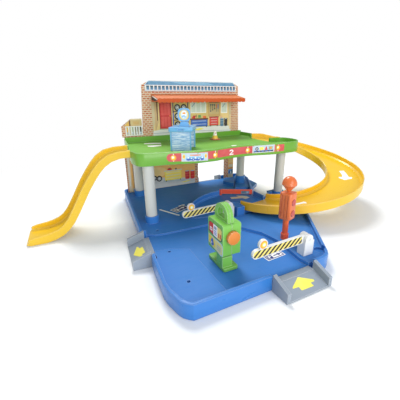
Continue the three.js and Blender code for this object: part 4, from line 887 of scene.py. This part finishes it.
# Tray labels, bay lines and the arrows of the ramps
film("tray_labels", [
    *parking_label(159.6, 52, 3.8, 35.5, 14.2, "white"),
    *parking_label(97.5, 288.5, 24, 38, 22, "navy"),
    ("white", 0, [(54.5, 305), (59.5, 305), (86, 257), (81.5, 254.5)]),
    ("white", 0, [(101, 306), (116, 309), (117, 305), (102, 302)]),
], above("base_tray"))
film("front_ramp_arrow", [("arrow", 1, [
    (152.4, -4.2), (171.6, -14.4), (170.6, -16.6), (163.6, -16.8), (164.4, -21.9), (143.2, -21.4),
    (143, -16.2), (133.6, -15.6), (134.4, -13.8)])], above("front_ramp"), fine=6)
film("left_ramp_arrow", [("arrow", 1, [
    (-31.6, 164.4), (-27.2, 155.6), (-22.6, 148.2), (-20.2, 149.2), (-20, 153.8), (-14.8, 154.6),
    (-14.2, 173.8), (-19.4, 174.4), (-20, 180.6), (-22, 182.6), (-26.6, 173.6)])], above("left_ramp"), fine=6)
film("back_ramp_arrow", [("arrow", 1, [
    (258.2, 462.2), (277.4, 472.4), (276.4, 474.6), (268.8, 474.8), (268.8, 479.8), (248, 479.8),
    (248, 474.8), (239.8, 474.6), (238.8, 472.4)])], above("back_ramp"), fine=6)
film("landing_arrow", [("beige", 1, [
    (214.9, 263.7), (240.1, 256.8), (242.5, 249.4), (251.2, 250.4), (257.6, 253.5), (255.8, 264.6),
    (246, 272), (235.8, 278), (238.5, 268.8), (218.6, 275)])], above("landing_turn"))
film("curve_arrows", [
    ("white", 1, [(471.7, 190.6), (482.9, 186.6), (475, 172), (467.4, 161.6), (472.4, 155.6), (465, 150.8),
                  (447.6, 156.2), (444.8, 169.8), (449.2, 172.6), (455.5, 168.6), (463, 176)]),
    ("white", 1, [(296, 150), (309, 145.4), (313.2, 146.8), (315.6, 141.2), (311.4, 134.6), (308, 138.4),
                  (292, 143.6)]),
], above("curved_ramp"), fine=4)
# The awning's open left end: a white bracket line, and below it a black sheet of painted shadow for its
# hollow
film("awning_end_bracket_and_shadow", [
    ("white", 1, [(401.5, 241.6), (421, 245.4), (440, 249.2), (440, 247.4), (421, 242.6), (401.5, 238.8)]),
    ("black", 1, [(401.5, 238.6), (421, 242.4), (448, 247.6), (448, 240), (421, 236.6)]),
], left_of(97))

# Barriers: black and yellow slanted stripes and a round warning light on both faces of the arm
REACH, HALF, DROOP = 92, 7, 2  # of the arm: from the pivot to its round end, half its height, and its fall
EDGE = 1.5  # the bare edge round the stripes
PIVOT_IN, PIVOT_UP = 8, 26.8  # from the post's left side and from the floor
ARM_FRONT, ARM_BACK = 5, 9  # the arm's faces behind the post's front
POST_GAP = 2.4  # from the stripes to the post
STRIPES, STRIPE_STEP, STRIPE_WIDTH, FIRST_STRIPE = 11, 9.15, 4.3, 9
LIGHT_ALONG, LIGHT_UP = 10.8, 12.6
for name, post_x, post_y, floor_z in (("front", 189.5, 22, 16.5), ("rear", 160, 195, 13.5)):
    pivot_x, pivot_z = post_x + PIVOT_IN, floor_z + PIVOT_UP
    end_x, end_z = pivot_x - REACH, pivot_z - DROOP
    r = HALF - EDGE
    near_x = post_x - POST_GAP
    near_z = pivot_z - DROOP * (pivot_x - near_x) / REACH
    band = arc(end_x, end_z, r, r, LEFT_HALF) + [(near_x, near_z - r), (near_x, near_z + r)]
    shapes = [("stripe", 0, band)]
    for i in range(STRIPES):
        x = end_x - FIRST_STRIPE + i * STRIPE_STEP
        low = end_z - r + DROOP * (x - end_x) / REACH
        high, lean = low + 2 * r + 1.6, 2 * r + 2.6
        x_right = x + STRIPE_WIDTH
        slanted = [(x, low - 1), (x_right, low - 1), (x_right + lean, high), (x + lean, high)]
        cut = clipped(slanted, band)
        if cut:
            shapes.append(("black", 1, cut))
    cx, cz = end_x + LIGHT_ALONG, end_z + LIGHT_UP
    shapes += [disc("ring", 0, cx, cz, 6), disc("lamp", 1, cx + 0.5, cz, 4.8),
               disc("yellow_light", 2, cx + 0.8, cz - 0.2, 3.4), disc("white", 3, cx + 0.8, cz - 0.3, 2)]
    film(name + "_stripes_front", shapes, front_of(post_y + ARM_FRONT), name + "_arm")
    film(name + "_stripes_back", shapes, back_of(post_y + ARM_BACK), name + "_arm")

# Pump panels: three coloured fields above, and a plain fuel drop on yellow and cream below
DROP_Y, DROP_Z, DROP_R = 83, 42.6, 5


def drop_point(t):
    """A point of the drop: round below, narrower and drawn out above."""
    across, rise = (1, math.cos(t)) if math.cos(t) < 0 else (0.86, 1.5 * math.cos(t) ** 1.6)
    return (DROP_Y + DROP_R * math.sin(t) * across, DROP_Z + DROP_R * rise)


film("pump_panels", [
    ("leaf_dark", 0, [(93.4, 71.2), (89.6, 74), (59.6, 74.2), (55.8, 71.8), (56.2, 56.2), (60, 54),
                      (69.6, 53.4), (80.4, 54.6), (93.4, 57.4)]),
    ("car_red", 1, [(92.8, 70.6), (89.2, 73.4), (80, 73.6), (80, 56), (87.2, 57.4), (92.9, 59)]),
    ("white", 1, [(80, 73.6), (68.4, 73.4), (68.4, 55.4), (80, 56)]),
    ("stripe", 1, [(68.4, 73.4), (59.8, 73.6), (56.5, 71.4), (56.8, 61), (59.4, 55.6), (68.4, 55.4)]),
    box("white", 2, 83, 90, 60.5, 66),
    box("cabinet", 3, 85, 88, 62, 64.6),
    box("glass", 2, 70.6, 77.8, 66.4, 71),
    *[box("lift", 2, 70.6, 77.8, z, z + 1.2) for z in (58.4, 61, 63.6)],
    *[box("car_red", 2, y, y + 2.6, 58.4, 65) for y in (58.4, 63)],
    ("sky_line", 0, [(94.2, 53.4), (87.2, 52.6), (78.1, 52.1), (66.4, 53), (56.4, 52.4), (52.9, 48.4),
                     (52.9, 38.6), (53.6, 34.2), (59, 32.8), (69, 34.6), (81, 35.7), (88.8, 37.5),
                     (94.6, 38.8)]),
    ("car_yellow", 1, [(93.4, 52.6), (87.2, 51.6), (78, 51), (74, 42), (76, 36), (81, 36.6), (88.8, 38.4),
                       (93.8, 39.8)]),
    ("cream", 1, [(78, 51), (66.4, 51.6), (58, 51), (54.2, 47.4), (54.2, 39), (54.8, 35.4), (59.2, 34.2),
                  (69, 35.6), (76, 36), (74, 42)]),
    ("lift", 2, [drop_point(math.radians(a)) for a in range(0, 360, 20)]),
    disc("white", 3, DROP_Y + 1.6, DROP_Z - 0.6, 1.4, 1.8, 12),
    *[box("line", 2, 58, 69, z, z + 1.2) for z in (38.6, 41.4, 44.2)],
    box("stripe", 2, 59, 68, 46.6, 49),
], left_of(68))

# Wash: a plain sponge with bubbles on the sign's two faces
WASH_X, WASH_Y, WASH_TURN = 85, 293, math.radians(-27.2)
wash_cos, wash_sin = math.cos(WASH_TURN), math.sin(WASH_TURN)


def on_wash(v0, side):
    """Places points on an upright plane of the turned wash, at v0 from its corner."""
    def place(a, b, lift):
        v = v0 + side * lift / MM
        return at(WASH_X + wash_cos * a - wash_sin * v, WASH_Y + wash_sin * a + wash_cos * v, b)
    return place


SIGN_U, SIGN_Z = 27.2, 210.1
SIGN_FRONT, SIGN_BACK = 23.7, 26.3
sign = [
    disc("lamp", 0, SIGN_U, SIGN_Z, 10.2, 10.4, 24),
    disc("stripe", 1, SIGN_U, SIGN_Z, 8.9, 9.6, 24),
    disc("sky_line", 2, SIGN_U, SIGN_Z + 0.4, 7, 9, 24),
    disc("white", 3, SIGN_U, SIGN_Z + 1.2, 5.4, 7, 20),
    box("ring", 4, SIGN_U - 3, SIGN_U + 3, SIGN_Z + 1.8, SIGN_Z + 5),
]
PORES = ((-1.8, 3), (0.2, 4), (1.9, 2.8))
SUDS = ((-2.2, -2.6, 1.9), (1.8, -3.4, 1.6), (0.2, -1, 1.2))
sign += [disc("orange_red", 5, SIGN_U + u, SIGN_Z + w, 0.5, sides=8) for u, w in PORES]
sign += [disc("panel_sky", 4, SIGN_U + u, SIGN_Z + w, r, sides=14) for u, w, r in SUDS]
film("wash_sign_front", sign, on_wash(SIGN_FRONT, -1))
film("wash_sign_back", sign, on_wash(SIGN_BACK, 1))
film("cone_mark", [disc("car_red", 0, 243.6, 158, 1.5, 2.4), box("cabinet", 0, 241.7, 245.3, 149.8, 152)],
     before("cone_body"))
film("gate_label", [box("teal", 0, 247.4, 263.8, 28.3, 35.4), box("leaf_dark", 1, 249, 256, 32, 33.6),
                    box("glass", 1, 258, 262.4, 30, 34.4)], before("gate_plate"), "gate")


# Stage, lights and camera
STAGE_HALF = 9  # half the floor's width, in metres
STAGE_DROP = 0.0002  # from the toy's foot to the floor, in metres
STAGE_COLOUR = (0.9, 0.92, 0.94, 1)
STUDIO_COLOUR = (0.93, 0.96, 1.0, 1)
STUDIO_STRENGTH = 0.56
SHADOW_END, WHITE_START = 0.42, 0.85  # how far out the floor begins to whiten, and is all white, in metres
NEAR_WHITE = 0.06  # share of plain white close to the toy


def stage_floor():
    """A pale floor that keeps the shadow near the toy and shows plain white further out."""
    corners = [(-STAGE_HALF, -STAGE_HALF, 0), (STAGE_HALF, -STAGE_HALF, 0), (STAGE_HALF, STAGE_HALF, 0),
               (-STAGE_HALF, STAGE_HALF, 0)]
    mesh = bpy.data.meshes.new("stage_floor")
    mesh.from_pydata(corners, [], [(0, 1, 2, 3)])
    o = bpy.data.objects.new("stage_floor", mesh)
    bpy.context.scene.collection.objects.link(o)
    o.location.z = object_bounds()[0].z - STAGE_DROP
    b = Build("stage_floor")
    b.set("Base Color", STAGE_COLOUR)
    b.set("Roughness", 0.9)
    b.set("Specular IOR Level", 0.0)
    glow = b.add("ShaderNodeEmission")
    glow.inputs["Color"].default_value = WHITE
    glow.inputs["Strength"].default_value = 1.0
    rays = b.add("ShaderNodeLightPath")
    seen = b.math("MAXIMUM", rays.outputs["Is Camera Ray"], rays.outputs["Is Glossy Ray"])
    seen = b.math("MAXIMUM", seen, rays.outputs["Is Transmission Ray"])
    length = b.add("ShaderNodeVectorMath", operation="LENGTH")
    b.link(b.coords, length.inputs[0])
    far = b.span(length.outputs["Value"], SHADOW_END, WHITE_START, NEAR_WHITE, 1.0)
    blend = b.add("ShaderNodeMixShader")
    b.link(b.math("MULTIPLY", seen, far), blend.inputs[0])
    b.link(b.shader.outputs[0], blend.inputs[1])
    b.link(glow.outputs[0], blend.inputs[2])
    b.link(blend.outputs[0], b.tree.nodes["Material Output"].inputs["Surface"])
    mesh.materials.append(b.material)
    o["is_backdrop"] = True


def studio():
    """Soft light from all round, which the camera sees as plain white."""
    world = bpy.data.worlds.new("studio")
    bpy.context.scene.world = world
    world.use_nodes = True
    nodes, links = world.node_tree.nodes, world.node_tree.links
    light = nodes["Background"]
    light.inputs["Color"].default_value = STUDIO_COLOUR
    light.inputs["Strength"].default_value = STUDIO_STRENGTH
    backdrop = nodes.new("ShaderNodeBackground")
    backdrop.inputs["Color"].default_value = WHITE
    backdrop.inputs["Strength"].default_value = 1.0
    rays = nodes.new("ShaderNodeLightPath")
    seen = nodes.new("ShaderNodeMath")
    seen.operation = "MAXIMUM"
    links.new(rays.outputs["Is Camera Ray"], seen.inputs[0])
    links.new(rays.outputs["Is Transmission Ray"], seen.inputs[1])
    blend = nodes.new("ShaderNodeMixShader")
    links.new(seen.outputs[0], blend.inputs[0])
    links.new(light.outputs[0], blend.inputs[1])
    links.new(backdrop.outputs[0], blend.inputs[2])
    links.new(blend.outputs[0], nodes["World Output"].inputs["Surface"])


def softbox(name, place, target, size, power, colour=(1, 1, 1)):
    data = bpy.data.lights.new(name, "AREA")
    data.shape = "RECTANGLE"
    data.size, data.size_y = size
    data.energy = power
    data.color = colour
    o = bpy.data.objects.new(name, data)
    bpy.context.scene.collection.objects.link(o)
    o.location = place
    o.rotation_euler = (Vector(target) - Vector(place)).to_track_quat("-Z", "Y").to_euler()


stage_floor()
studio()
softbox("key_light", (0.1, 0.66, 1.3), (0, 0, 0.05), (0.5, 0.5), 14.8, (1.0, 0.99, 0.97))
softbox("front_light", (0.1, -1.35, 0.72), (0.04, 0.1, 0.04), (0.8, 0.6), 8)
softbox("low_light", (-0.6, -2.6, 0.22), (-0.02, 0.2, 0.06), (1.3, 0.7), 24, (1.0, 0.985, 0.95))

# The camera's turns, in radians, and its place in the plan
YAW, PITCH, ROLL = 0.466811, 0.330577, -0.0073000
EYE = (-95.119, -219.782, 238.098)
LENS, SHIFT_X, SHIFT_Y = 24.004, -0.01384, -0.0207
forward = Vector((math.sin(YAW) * math.cos(PITCH), math.cos(YAW) * math.cos(PITCH), -math.sin(PITCH)))
level = Vector((math.cos(YAW), -math.sin(YAW), 0))
rise = level.cross(forward)
right = level * math.cos(ROLL) + rise * math.sin(ROLL)
up = rise * math.cos(ROLL) - level * math.sin(ROLL)
camera_data = bpy.data.cameras.new("camera")
camera_data.sensor_width = 36
camera_data.lens = LENS
camera_data.shift_x = SHIFT_X
camera_data.shift_y = SHIFT_Y
camera_data.clip_start = 0.01
camera = bpy.data.objects.new("camera", camera_data)
bpy.context.scene.collection.objects.link(camera)
turned = Matrix((right, up, -forward)).transposed().to_4x4()
camera.matrix_world = Matrix.Translation(at(*EYE)) @ turned
bpy.context.scene.camera = camera
bpy.context.scene.view_settings.view_transform = "Standard"
